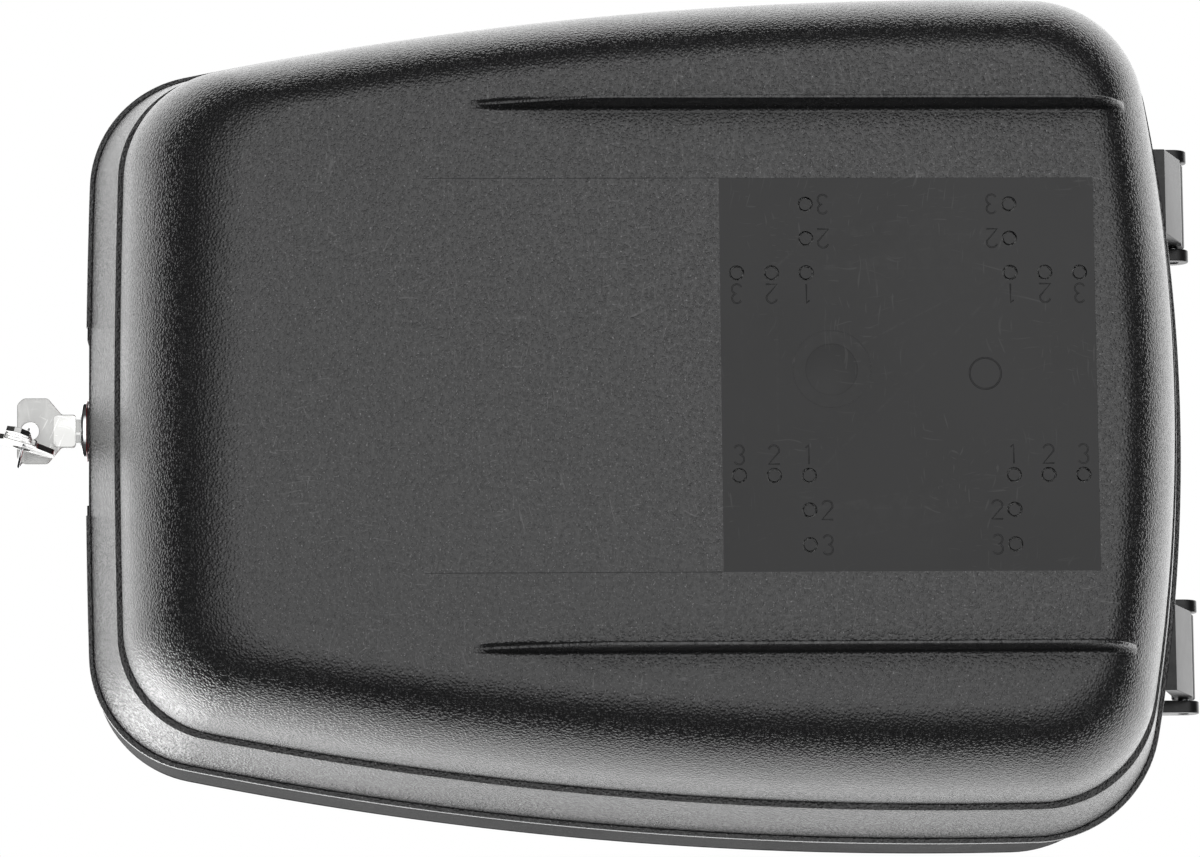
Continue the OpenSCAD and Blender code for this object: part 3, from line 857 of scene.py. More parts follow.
KEY_POLISHED = Finish("key_polished", "nickel_key", (0.5, 0.5, 0.49), (0.7, 0.7, 0.69), 0.14, 0.28,
                      metallic=1.0, grain_mm=0.3, grain_height_mm=0.003, scratches=0.7)
RING_STEEL = Finish("ring_steel", "ring_steel", (0.62, 0.63, 0.64), (0.8, 0.8, 0.8), 0.12, 0.26,
                    metallic=1.0, grain_mm=0.25, grain_height_mm=0.003)


def settle(piece: bpy.types.Object, body: Body, finish: Finish, *nodes: str) -> bpy.types.Object:
    """Dresses a piece, hands it to its body and hides the CAD nodes that it replaces.

    Args:
        piece: finished mesh object.
        body: body that it moves with.
        finish: its finish.
        nodes: CAD nodes that it replaces.

    Returns:
        The same object.
    """
    if not piece.data.materials:
        piece.data.materials.append(finish.material())
    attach(piece, body.value)
    if nodes:
        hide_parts(*nodes)
    log.info("%s rides on %s", piece.name, body.value)
    return piece


def dress_node(node: str, finish: Finish, bevel: float) -> None:
    """Gives a CAD node its finish and softens its edges.

    Args:
        node: name of the CAD node, which stays as it is.
        finish: its finish.
        bevel: width of the softened edges in millimetres.
    """
    piece = frame["nodes"][node]
    for target in [piece, *piece.children_recursive]:
        if target.type != "MESH":
            continue
        target.data.materials.clear()
        target.data.materials.append(finish.material())
        weld = target.modifiers.new("joined_corners", "WELD")
        weld.merge_threshold = 0.002 * MM
        soft = target.modifiers.new("soft_edges", "BEVEL")
        soft.width = bevel * MM
        soft.segments = 2
        soft.limit_method = "ANGLE"
        soft.angle_limit = math.radians(35)
        soft.harden_normals = True
    log.info("%s keeps its CAD mesh", node)


# ---------------------------------------------------------------- shells


@dataclass(frozen=True)
class Plan:
    """Places that several sub-assemblies share, in millimetres, read from the frame."""

    outline: Outline
    rim_z: float
    hinge: Vector
    lock: Vector
    wall: float = 3.0
    parting_gap: float = 0.5
    lid_inset: Inset = (0.3, 0.3, 4.0)

    @classmethod
    def from_frame(cls, stand_off: float = 3.0, lens_setback: float = 0.4) -> "Plan":
        """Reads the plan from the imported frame.

        Args:
            stand_off: distance of the hinge axis beyond the lip.
            lens_setback: distance of the reflector inside the lip.

        Returns:
            The plan.
        """
        base_high = box_mm("base_shell")[1]
        hinge = joint_mm("lid_open")
        hinge.x = box_mm("hinge_pin_right")[0].x / 2 + box_mm("hinge_pin_right")[1].x / 2
        outline = Outline(base_high.x, lens_setback - box_mm("reflector_lens")[0].y, hinge.y - stand_off)
        return cls(outline, box_mm("lid_shell")[0].z - cls.parting_gap, hinge, joint_mm("lock_turn"))


def at(ring: np.ndarray, z: float) -> np.ndarray:
    """Lifts a flat ring to a height.

    Args:
        ring: points in the plane.
        z: height.

    Returns:
        Points in space.
    """
    return np.c_[ring, np.full(len(ring), z)]


@dataclass
class BaseShell:
    """The deep base: two wall tiers, lip, tongue, drill marks and runners."""

    plan: Plan
    ledge_z: float = 66.0
    lip_width: float = 1.8
    lip_height: float = 3.0
    tier_draft: Inset = (6.6, 9.3, 4.4)
    ledge_width: float = 2.2
    rounding: Inset = (29.5, 44.5, 26.5)
    tongue_height: float = 3.0
    tongue_width: float = 2.0
    edge_steps: int = 30
    soft: float = 0.5
    mark_step: float = 12.0
    mark_square: float = 70.5
    mark_r: float = 2.65
    numeral_height: float = 6.6
    insert_low: Point2 = (-68.5, -65.0)
    insert_high: Point2 = (68.5, 64.5)
    runner_x: float = 94.5
    runner_height: float = 13.5
    runner_start: float = -151.0
    runner_full: float = -107.0
    runner_end: float = 77.0
    runner_fade: float = 24.0

    @property
    def tier_foot(self) -> Inset:
        """Distances from the lip's edge in to the foot of the upper tier."""
        return plus(same(self.lip_width), self.tier_draft)

    @property
    def ledge_inset(self) -> Inset:
        """Distances from the lip's edge in to the top of the lower tier."""
        return plus(self.tier_foot, same(self.ledge_width))

    def _outside(self) -> list[tuple[Inset, float]]:
        """Lists the levels of the outside, from the flat underside up to the rim."""
        rim, soft = self.plan.rim_z, self.soft
        ledge, upper = self.ledge_inset, self.tier_foot
        levels = []
        for i in range(self.edge_steps + 1):
            a = math.pi / 2 * i / self.edge_steps
            levels.append((plus(ledge, self.rounding, 1 - math.sin(a)),
                           (self.ledge_z - soft * 0.3) * (1 - math.cos(a))))
        levels += [
            (plus(ledge, same(-0.2)), self.ledge_z),
            (plus(upper, same(soft)), self.ledge_z + 0.15),
            (plus(upper, same(soft * 0.3)), self.ledge_z + 0.3),
            (upper, self.ledge_z + soft + 0.3),
        ]
        low = rim - self.lip_height
        for i in range(1, 9):
            share = i / 8
            levels.append((plus(upper, self.tier_draft, -share),
                           self.ledge_z + soft + 0.3 + (low - self.ledge_z - soft - 0.9) * share))
        levels += [
            (same(self.lip_width - 0.2), low - 0.2), (same(self.lip_width - 0.6), low),
            (same(soft), low), (same(soft * 0.3), low + soft * 0.3), (same(0.0), low + soft),
            (same(0.0), rim - soft * 0.6), (same(soft * 0.2), rim - soft * 0.15), (same(soft * 0.6), rim),
        ]
        return levels

    def _inside(self) -> list[tuple[Inset, float]]:
        """Lists the levels of the tongue and the inside, down to the floor."""
        rim, wall = self.plan.rim_z, self.plan.wall
        out = plus(self.plan.lid_inset, same(wall + 0.7))
        into = plus(out, same(self.tongue_width))
        top = rim + self.tongue_height
        levels = [(out, rim + 0.01), (plus(out, same(0.05)), top - 0.4), (plus(out, same(0.4)), top),
                  (plus(into, same(-0.4)), top), (plus(into, same(-0.05)), top - 0.4),
                  (plus(into, same(0.2)), rim - 6),
                  (plus(self.tier_foot, same(wall)), self.ledge_z + wall + 2)]
        run = plus(self.rounding, same(-wall))
        for i in range(self.edge_steps, -1, -1):
            a = math.pi / 2 * i / self.edge_steps
            levels.append((plus(plus(self.ledge_inset, same(wall)), run, 1 - math.sin(a)),
                           wall + (self.ledge_z - wall + 1) * (1 - math.cos(a))))
        return levels

    def _mark_places(self) -> list[tuple[float, float, int, int, int]]:
        """Lists the drill marks as X, Y, number, and the signs of the side and end they are on."""
        half, places = self.mark_square / 2, []
        for sx in (-1, 1):
            for sy in (-1, 1):
                places.append((sx * half, sy * half, 1, sx, sy))
                for i in (1, 2):
                    places.append((sx * half, sy * (half + i * self.mark_step), i + 1, sx, sy))
                    places.append((sx * (half + i * self.mark_step), sy * half, i + 1, sx, sy))
        return places

    def _cutters(self) -> list[bpy.types.Object]:
        """Makes the tools for the insert, drill marks, gate and the gaps in the rim."""
        r = self.mark_r
        profile = [(r + 0.06, -1.0), (r + 0.06, -0.01), (r, 0.08), (r, 1.7), (r - 0.62, 1.7),
                   (r - 0.7, 0.5)]
        marks = [turned("mark_tool", profile, Vector((x, y, 0)), Axis.Z, steps=40)
                 for x, y, *_ in self._mark_places()]
        gate = turned("gate_tool", [(9.0, -1.0), (9.0, 0.3), (8.6, 0.4)], Vector((1.5, -27, 0)), Axis.Z)
        halo = turned("halo_tool", [(13.2, -1), (13.2, 0.22), (13.7, 0.22), (13.7, -1)],
                      Vector((1.5, -27, 0)), Axis.Z, hollow=True)
        insert = block("insert_tool", (*self.insert_low, -1.0), (*self.insert_high, 0.12))
        plan, rim = self.plan, self.plan.rim_z
        lock_y = -plan.outline.lock_reach
        half = ReflectorLock.pocket_half + plan.wall + 1
        back = box_mm("reflector_backplate")[1].y + plan.wall + 1
        notch = block("notch_tool", (-half, lock_y - 5, rim - self.lip_height - 1),
                      (half, lock_y + 1.2, rim + 9))
        pocket = block("pocket_tool", (-half, lock_y - 5, rim - 0.4), (half, back, rim + 9))
        stop_y = plan.outline.hinge_reach - plan.outline.hinge_corner - 6
        wide = plan.outline.half_width + 5
        swing = block("swing_tool", (-wide, stop_y, rim), (wide, plan.outline.hinge_reach + 5, rim + 9))
        return [insert, joined("marks_tool", marks), gate, halo, notch, pocket, swing]

    def _shell(self) -> bpy.types.Object:
        """Builds the walls and cuts the marks."""
        ring = self.plan.outline.ring
        shell = loft("base_walls", [at(ring(inset), z) for inset, z in self._outside() + self._inside()])
        combine(shell, self._cutters(), "DIFFERENCE")
        smooth_by_angle(shell.data)
        shell.data.materials.clear()
        shell.data.materials.append(CASE_GRAIN.material())
        shell.data.materials.append(CASE_SMOOTH.material())
        (x0, y0), (x1, y1) = self.insert_low, self.insert_high
        for face in shell.data.polygons:
            c = face.center / MM
            if c.z < self.plan.wall / 2 and x0 - 0.1 < c.x < x1 + 0.1 and y0 - 0.1 < c.y < y1 + 0.1:
                face.material_index = 1
        return shell

    def _numeral(self, number: int, x: float, y: float, turn: int) -> list[list[list[float]]]:
        """Draws a numeral as strokes.

        Args:
            number: 1, 2 or 3.
            x: middle of the numeral.
            y: middle of the numeral.
            turn: 1 for a top that points to +X, -1 for the other way.

        Returns:
            Paths of points on the underside.
        """
        def bow(cx: float, cy: float, r: float, a0: float, a1: float) -> list[Point2]:
            """Steps along an arc given in degrees."""
            steps = [math.radians(a0 + (a1 - a0) * i / 12) for i in range(13)]
            return [(cx + r * math.cos(a), cy + r * math.sin(a)) for a in steps]

        strokes = {
            1: [[(0.0, -0.5), (0.0, 0.5), (-0.16, 0.36)]],
            2: [bow(0.0, 0.22, 0.27, 165, -20) + [(-0.28, -0.5), (0.3, -0.5)]],
            3: [bow(0.0, 0.25, 0.25, 155, -80) + bow(0.0, -0.25, 0.26, 80, -155)],
        }[number]
        size = self.numeral_height
        return [[[x + turn * size * v, y + turn * size * u, 0.33] for u, v in stroke] for stroke in strokes]

    def _numerals(self) -> bpy.types.Object:
        """Makes the low raised numerals beside the drill marks, and the plain ring."""
        half, paths = self.mark_square / 2, []
        beside = self.mark_r + 1.3 + self.numeral_height / 2
        for x, y, number, sx, sy in self._mark_places():
            in_row = abs(abs(x) - half) < 0.1
            place = (x - sx * beside, y) if in_row else (x, y - sy * (beside - 1.2))
            paths += self._numeral(number, *place, -1 if sx > 0 else 1)
        strokes = tube("numeral_strokes", paths, 0.36)
        circle = [[5.4 * math.cos(a), 26 + 5.4 * math.sin(a), 0.32]
                  for a in np.linspace(0, 2 * math.pi, 48, endpoint=False)]
        return joined("base_numerals", [strokes, tube("plain_ring", [circle], 0.36, cyclic=True)])

    def _mould_lines(self) -> bpy.types.Object:
        """Makes the faint lines that run on from the insert."""
        x = self.insert_high[0]
        lines = [[[s * x, self.insert_low[1], 0.1], [s * x, -167, 0.1]] for s in (-1, 1)]
        return tube("base_mould_lines", lines, 0.16)

    def _edge_rise(self, x: float, y: float) -> float:
        """Finds how far the rounded edge at the hinge end has risen.

        Args:
            x: distance from the middle.
            y: place along the length.

        Returns:
            Height above the flat underside.
        """
        into = y - (self.plan.outline.hinge_edge(x, self.ledge_inset[2]) - self.rounding[2])
        share = min(1.0, max(0.0, into / self.rounding[2]))
        return self.ledge_z * (1 - math.sqrt(1 - share * share))

    def _runner(self, name: str, side: int) -> bpy.types.Object:
        """Builds a tapered runner with a filleted root.

        Args:
            name: name of the piece.
            side: 1 for +X, -1 for -X.

        Returns:
            The runner.
        """
        fade = self.runner_end - self.runner_fade
        stations = [(y, self.runner_height * (y - self.runner_start) / (self.runner_full - self.runner_start))
                    for y in np.linspace(self.runner_start + 0.5, self.runner_full - 3, 24)]
        stations += [(y, self.runner_height) for y in np.linspace(self.runner_full + 3, fade, 30)]
        stations += [(fade + self.runner_fade * math.sin(a), self.runner_height * math.cos(a))
                     for a in np.linspace(0.06, math.pi / 2 - 0.02, 20)]
        root, crest, fillet = 1.35, 0.6, 1.6
        rings = []
        for y, h in stations:
            rise, r = self._edge_rise(self.runner_x, y), min(fillet, h * 0.4)
            left = [(root + r, 0.35), (root + r, 0.0)]
            left += [(root + r * (1 - math.sin(a)), -r * (1 - math.cos(a))) for a in np.linspace(0.3, 1.5, 5)]
            left += [(crest + 0.05, -h + min(0.5, h * 0.3)), (crest * 0.7, -h + 0.12), (0.0, -h)]
            profile = left + [(-u, v) for u, v in left[-2::-1]]
            rings.append(np.array([[side * self.runner_x + u, y, rise + v] for u, v in profile]))
        piece = loft(name, rings)
        fix_normals(piece)
        smooth_by_angle(piece.data, 40)
        return piece

    def _strike_boss(self) -> bpy.types.Object:
        """Builds the block inside the lock end that carries the strike plate."""
        low, high = box_mm("strike_plate")
        wall_y = -self.plan.outline.lock_reach + self.tier_foot[1]
        half = high.x
        top = self.plan.rim_z - 4
        shape = [(wall_y, low.z - 6), (low.y, low.z - 1), (low.y, top), (wall_y, top)]
        place = Matrix(((0, 0, 1, 0), (1, 0, 0, 0), (0, 1, 0, 0), (0, 0, 0, 1)))
        return plate("strike_boss", [shape], 2 * half, 0.5, place)

    def _hinge_tower(self, name: str, side: int) -> bpy.types.Object:
        """Builds a barrel and the tower that carries it above the lip.

        Args:
            name: name of the piece.
            side: 1 for +X, -1 for -X.

        Returns:
            The tower with its barrel.
        """
        plan, outline = self.plan, self.plan.outline
        hinge, half = plan.hinge, HingeLugs.barrel_half
        far, near = hinge.x + half, hinge.x - half
        low = plan.rim_z - self.lip_height + 0.5
        clear = outline.hinge_edge(near, plan.lid_inset[2]) + 0.8
        shape = [(outline.hinge_edge(far, self.lip_width), low), (outline.hinge_edge(near, 0), low),
                 (hinge.y + 1.7, hinge.z - 12), (hinge.y + 3.4, hinge.z - 2.2),
                 (hinge.y - 3.4, hinge.z - 2.2),
                 (clear, plan.rim_z + 3), (clear, plan.rim_z - 0.01),
                 (outline.hinge_edge(far, self.lip_width), plan.rim_z - 0.01)]
        place = Matrix(((0, 0, 1, side * hinge.x), (1, 0, 0, 0), (0, 1, 0, 0), (0, 0, 0, 1)))
        web = plate("web", [shape], 2 * half, 0.35, place)
        r, bore = 4.3, 2.08
        profile = [(bore, -half), (r - 0.4, -half), (r, -half + 0.4), (r, half - 0.4), (r - 0.4, half),
                   (bore, half)]
        barrel = turned("barrel", profile, Vector((side * hinge.x, hinge.y, hinge.z)), Axis.X, hollow=True)
        smooth_by_angle(barrel.data)
        return joined(name, [web, barrel])

    def build(self) -> None:
        """Builds the base and its fixed pieces."""
        settle(self._shell(), Body.BASE, CASE_GRAIN, "base_shell")
        settle(self._numerals(), Body.BASE, CASE_SMOOTH)
        settle(self._mould_lines(), Body.BASE, CASE_SMOOTH)
        settle(self._strike_boss(), Body.BASE, CASE_SMOOTH)
        for name, side in (("left", -1), ("right", 1)):
            settle(self._runner(f"base_runner_{name}", side), Body.BASE, CASE_GRAIN)
            settle(self._hinge_tower(f"hinge_barrel_{name}", side), Body.BASE, CASE_SMOOTH)


@dataclass
class LidShell:
    """The domed lid, with the pocket for the reflector."""

    plan: Plan
    skirt_height: float = 45.0
    skirt_draft: float = 0.4
    crown_height: float = 41.0
    shoulder_share: float = 0.86
    shoulder_run: Inset = (62.0, 74.0, 58.0)
    steps: int = 30
    crown_rings: int = 12
    soft: float = 0.5

    def _levels(self, wall: float, low_z: float) -> list[np.ndarray]:
        """Makes the rings of one side of the shell.

        Args:
            wall: 0 for the outside, the wall thickness for the inside.
            low_z: height of the first ring.

        Returns:
            Rings from the parting plane up to the crown.
        """
        plan, ring = self.plan, self.plan.outline.ring
        skirt_z = plan.rim_z + self.skirt_height
        lid, skirt = plan.lid_inset, plus(plan.lid_inset, same(self.skirt_draft))
        shoulder = self.crown_height * self.shoulder_share
        rings = []
        if wall == 0:
            rings.append(at(ring(plus(lid, same(self.soft))), low_z))
            rings.append(at(ring(plus(lid, same(self.soft * 0.2))), low_z + self.soft * 0.3))
            rings.append(at(ring(lid), low_z + self.soft))
        else:
            rings.append(at(ring(plus(lid, same(wall))), low_z))
        groove = 0.0 if wall else 0.7
        for share, depth in ((0.2, 0), (0.4, 0), (0.6, 0), (0.8, 0), (0.94, 0), (0.96, 1), (0.98, 1)):
            inset = plus(lid, same(wall + self.skirt_draft * share + groove * depth))
            rings.append(at(ring(inset), low_z + (skirt_z - low_z) * share))
        for i in range(self.steps + 1):
            a = math.pi / 2 * i / self.steps
            inset = plus(plus(skirt, same(wall)), self.shoulder_run, 1 - math.cos(a))
            rings.append(at(ring(inset), skirt_z + (shoulder - wall) * math.sin(a)))
        middle = (plan.outline.hinge_reach - plan.outline.lock_reach) / 2
        last = ring(plus(plus(skirt, same(wall)), self.shoulder_run))
        for i in range(1, self.crown_rings + 1):
            scale = 1 - 0.93 * i / self.crown_rings
            rise = (self.crown_height - shoulder) * (1 - scale * scale)
            shrunk = last * scale + [0, middle * (1 - scale)]
            rings.append(at(shrunk, skirt_z + shoulder - wall + rise))
        return rings

    def build(self) -> None:
        """Builds the lid with its pocket."""
        plan = self.plan
        low_z = plan.rim_z + plan.parting_gap
        inner, outer = self._levels(plan.wall, low_z - 0.01), self._levels(0, low_z)
        shell = loft("lid_dome", inner[::-1] + outer)
        half, wall = ReflectorLock.pocket_half, plan.wall
        back = box_mm("reflector_backplate")[1].y
        high = box_mm("reflector_lens")[1].z + 1.5
        lock_y = -plan.outline.lock_reach
        box = block("pocket_box", (-half - wall, lock_y + 4, low_z), (half + wall, back + wall, high + wall))
        combine(shell, [box], "UNION")
        hollow = block("pocket_hollow", (-half, lock_y - 5, low_z - 1), (half, back, high))
        corners = hollow.modifiers.new("round_corners", "BEVEL")
        corners.width = 1.2 * MM
        corners.segments = 3
        baked(hollow)
        bore = turned("lock_bore", [(9.3, back - 1), (9.3, back + wall + 1)],
                      Vector((0, 0, plan.lock.z)), Axis.Y)
        screw_x = box_mm("reflector_screws")[1].x - ReflectorLock.screw_head_r
        holes = [turned("screw_bore", [(1.7, back - 1), (1.7, back + wall + 1)],
                        Vector((s * screw_x, 0, plan.lock.z)), Axis.Y, steps=32) for s in (-1, 1)]
        combine(shell, [hollow, bore, *holes], "DIFFERENCE")
        smooth_by_angle(shell.data)
        shell.data.materials.clear()
        settle(shell, Body.LID, LID_GRAIN, "lid_shell")


@dataclass
class HingeLugs:
    """The lid's four hinge lugs and the two steel pins through them."""

    plan: Plan
    radius: float = 5.6
    thickness: float = 4.4
    gap: float = 0.7
    barrel_half: float = 15.5

    def _lug(self, name: str, x: float) -> bpy.types.Object:
        """Builds one lug with its pin hole.

        Args:
            name: name of the piece.
            x: middle of the lug.

        Returns:
            The lug.
        """
        plan, r = self.plan, self.radius
        root = plan.outline.hinge_edge(x, plan.lid_inset[2] + 0.3 + plan.wall / 2) - plan.hinge.y
        nose = [(r * math.cos(a), r * math.sin(a)) for a in np.linspace(-math.pi / 2, math.pi / 2, 33)]
        shape = [(root, -r), *nose, (root, r)]
        hole = [(2.02 * math.cos(a), 2.02 * math.sin(a))
                for a in np.linspace(0, 2 * math.pi, 36, endpoint=False)]
        place = Matrix(((0, 0, 1, x), (1, 0, 0, plan.hinge.y), (0, 1, 0, plan.hinge.z), (0, 0, 0, 1)))
        return plate(name, [shape, hole], self.thickness, 0.35, place)

    def build(self) -> None:
        """Builds the lugs and dresses the pins."""
        off = self.barrel_half + self.gap + self.thickness / 2
        for name, side in (("left", -1), ("right", 1)):
            for place, way in (("inner", -1), ("outer", 1)):
                lug = self._lug(f"lid_lug_{name}_{place}", side * (self.plan.hinge.x + way * off))
                settle(lug, Body.LID, CASE_SMOOTH)
            dress_node(f"hinge_pin_{name}", PIN_STEEL, 0.2)


# ---------------------------------------------------------------- reflector, lock and keys


@dataclass
class ReflectorLock:
    """The red reflector in the lid, and the cam lock in the middle of it."""

    plan: Plan
    pocket_half: float = 30.0
    screw_head_r: float = 3.0
    bow_r: float = 245.0
    corner_r: float = 9.0
    head_r: float = 11.25
    body_r: float = 9.0
    collar_r: float = 7.56
    bore_r: float = 6.06
    head_thickness: float = 2.4
    thread_pitch: float = 1.5

    def _lens(self) -> bpy.types.Object:
        """Builds the bowed lens with its raised border; the facets behind the face are built on their own."""
        low, high = box_mm("reflector_lens")
        half_x, half_z, mid_z = high.x, (high.z - low.z) / 2, (high.z + low.z) / 2
        corner, r = 36, self.corner_r
        outline = []
        for cx, cz, a0 in ((1, 1, 0), (-1, 1, 90), (-1, -1, 180), (1, -1, 270)):
            for i in range(corner):
                a = math.radians(a0 + 90 * i / corner)
                outline.append((cx * (half_x - r) + r * math.cos(a), cz * (half_z - r) + r * math.sin(a)))
        edge = np.array(outline)

        def front(points: np.ndarray, lift: float) -> np.ndarray:
            """Lays points on the bowed face, moved forwards by lift."""
            y = low.y + self.bow_r - np.sqrt(self.bow_r ** 2 - points[:, 0] ** 2) - lift
            return np.c_[points[:, 0], y, points[:, 1] + mid_z]

        levels = [(share, -0.35) for share in np.linspace(0.32, 0.9, 24)]
        levels += [(0.915, 0.0), (0.93, 0.0), (0.975, 0.0), (0.99, -0.12), (1.0, -0.5)]
        rings = [front(edge * share, lift) for share, lift in levels]
        back = np.c_[edge[:, 0], np.full(len(edge), high.y), edge[:, 1] + mid_z]
        lens = loft("reflector_lens_face", [*rings, back])
        fix_normals(lens)
        seat = turned("seat_tool", [(self.head_r + 0.3, low.y - 2), (self.head_r + 0.3, low.y + 0.4),
                                    (self.body_r + 0.3, low.y + 0.4), (self.body_r + 0.3, high.y + 1)],
                      Vector((0, 0, self.plan.lock.z)), Axis.Y)
        combine(lens, [seat], "DIFFERENCE")
        smooth_by_angle(lens.data, 25)
        lens.data.materials.clear()
        return lens

    def _facets(self) -> bpy.types.Object:
        """Builds the rows of small pyramids under the face of the lens."""
        low, high = box_mm("reflector_lens")
        pitch, points, faces = 2.4, [], []
        mid_z = (low.z + high.z) / 2
        for i in range(-11, 12):
            for k in range(-6, 7):
                x, z = i * pitch, mid_z + k * pitch
                outside = math.hypot(max(0, abs(x) + pitch / 2 - high.x + self.corner_r + 2),
                                     max(0, abs(z - mid_z) + pitch / 2 - (high.z - mid_z)
                                         + self.corner_r + 2))
                if outside > self.corner_r or math.hypot(x, z - self.plan.lock.z) < self.head_r + pitch:
                    continue
                y = low.y + x * x / (2 * self.bow_r) + 0.36
                n, h = len(points), pitch * 0.47
                points += [(x - h, y, z - h), (x + h, y, z - h), (x + h, y, z + h), (x - h, y, z + h),
                           (x, y - 0.3, z)]
                faces += [(n, n + 1, n + 4), (n + 1, n + 2, n + 4), (n + 2, n + 3, n + 4), (n + 3, n, n + 4),
                          (n, n + 3, n + 2, n + 1)]
        return mesh_piece("reflector_facets", np.array(points), faces)

    def _housing(self) -> bpy.types.Object:
        """Builds the domed head and the threaded body, as one turned piece."""
        low, high = box_mm("lock_housing")
        head, r = low.y, self.head_r
        profile = [(self.collar_r + 0.1, head + 1.7), (self.collar_r + 0.1, head + 0.25),
                   (self.collar_r + 0.35, head)]
        for a in np.linspace(0.2, 1.0, 9) * math.pi / 2:
            profile.append((r - 2.6 + 2.6 * math.sin(a), head + 1.3 * (1 - math.cos(a))))
        profile += [(r, head + 2.1), (r - 0.3, head + self.head_thickness),
                    (self.body_r - 0.3, head + self.head_thickness)]
        start = box_mm("lock_washer")[0].y - 0.6
        profile.append((self.body_r - 0.3, start))
        turns = int((high.y - 0.6 - start) / self.thread_pitch)
        for i in range(turns):
            y = start + i * self.thread_pitch
            profile += [(self.body_r, y + self.thread_pitch * 0.4),
                        (self.body_r, y + self.thread_pitch * 0.6),
                        (self.body_r - 0.55, y + self.thread_pitch)]
        profile += [(self.body_r - 0.5, high.y), (self.bore_r, high.y), (self.bore_r, head + 1.7)]
        body = turned("lock_head_and_body", profile, Vector((0, 0, self.plan.lock.z)), Axis.Y, hollow=True)
        smooth_by_angle(body.data, 28)
        return body

    def build(self) -> None:
        """Builds the reflector and the lock, and dresses the parts inside."""
        settle(self._lens(), Body.LID, RED_LENS, "reflector_lens")
        settle(self._facets(), Body.LID, RED_LENS)
        settle(self._housing(), Body.LID, LOCK_CHROME, "lock_housing")
        hidden = {
            "reflector_backplate": (BACKPLATE, 0.3), "reflector_screws": (SCREW_ZINC, 0.15),
            "lock_gasket": (GASKET, 0.12), "lock_washer": (NUT_ZINC, 0.12), "lock_nut": (NUT_ZINC, 0.5),
            "lock_plug": (PLUG_METAL, 0.12), "lock_wafers": (WAFER_BRASS, 0.1),
            "wafer_springs": (SPRING_STEEL, 0.05), "cam_stop_washer": (CAM_STEEL, 0.15),
            "hook_cam": (CAM_STEEL, 0.3), "cam_screw": (SCREW_ZINC, 0.2),
            "strike_plate": (CAM_STEEL, 0.25), "strike_screws": (SCREW_ZINC, 0.15),
        }
        for node, (finish, bevel) in hidden.items():
            dress_node(node, finish, bevel)


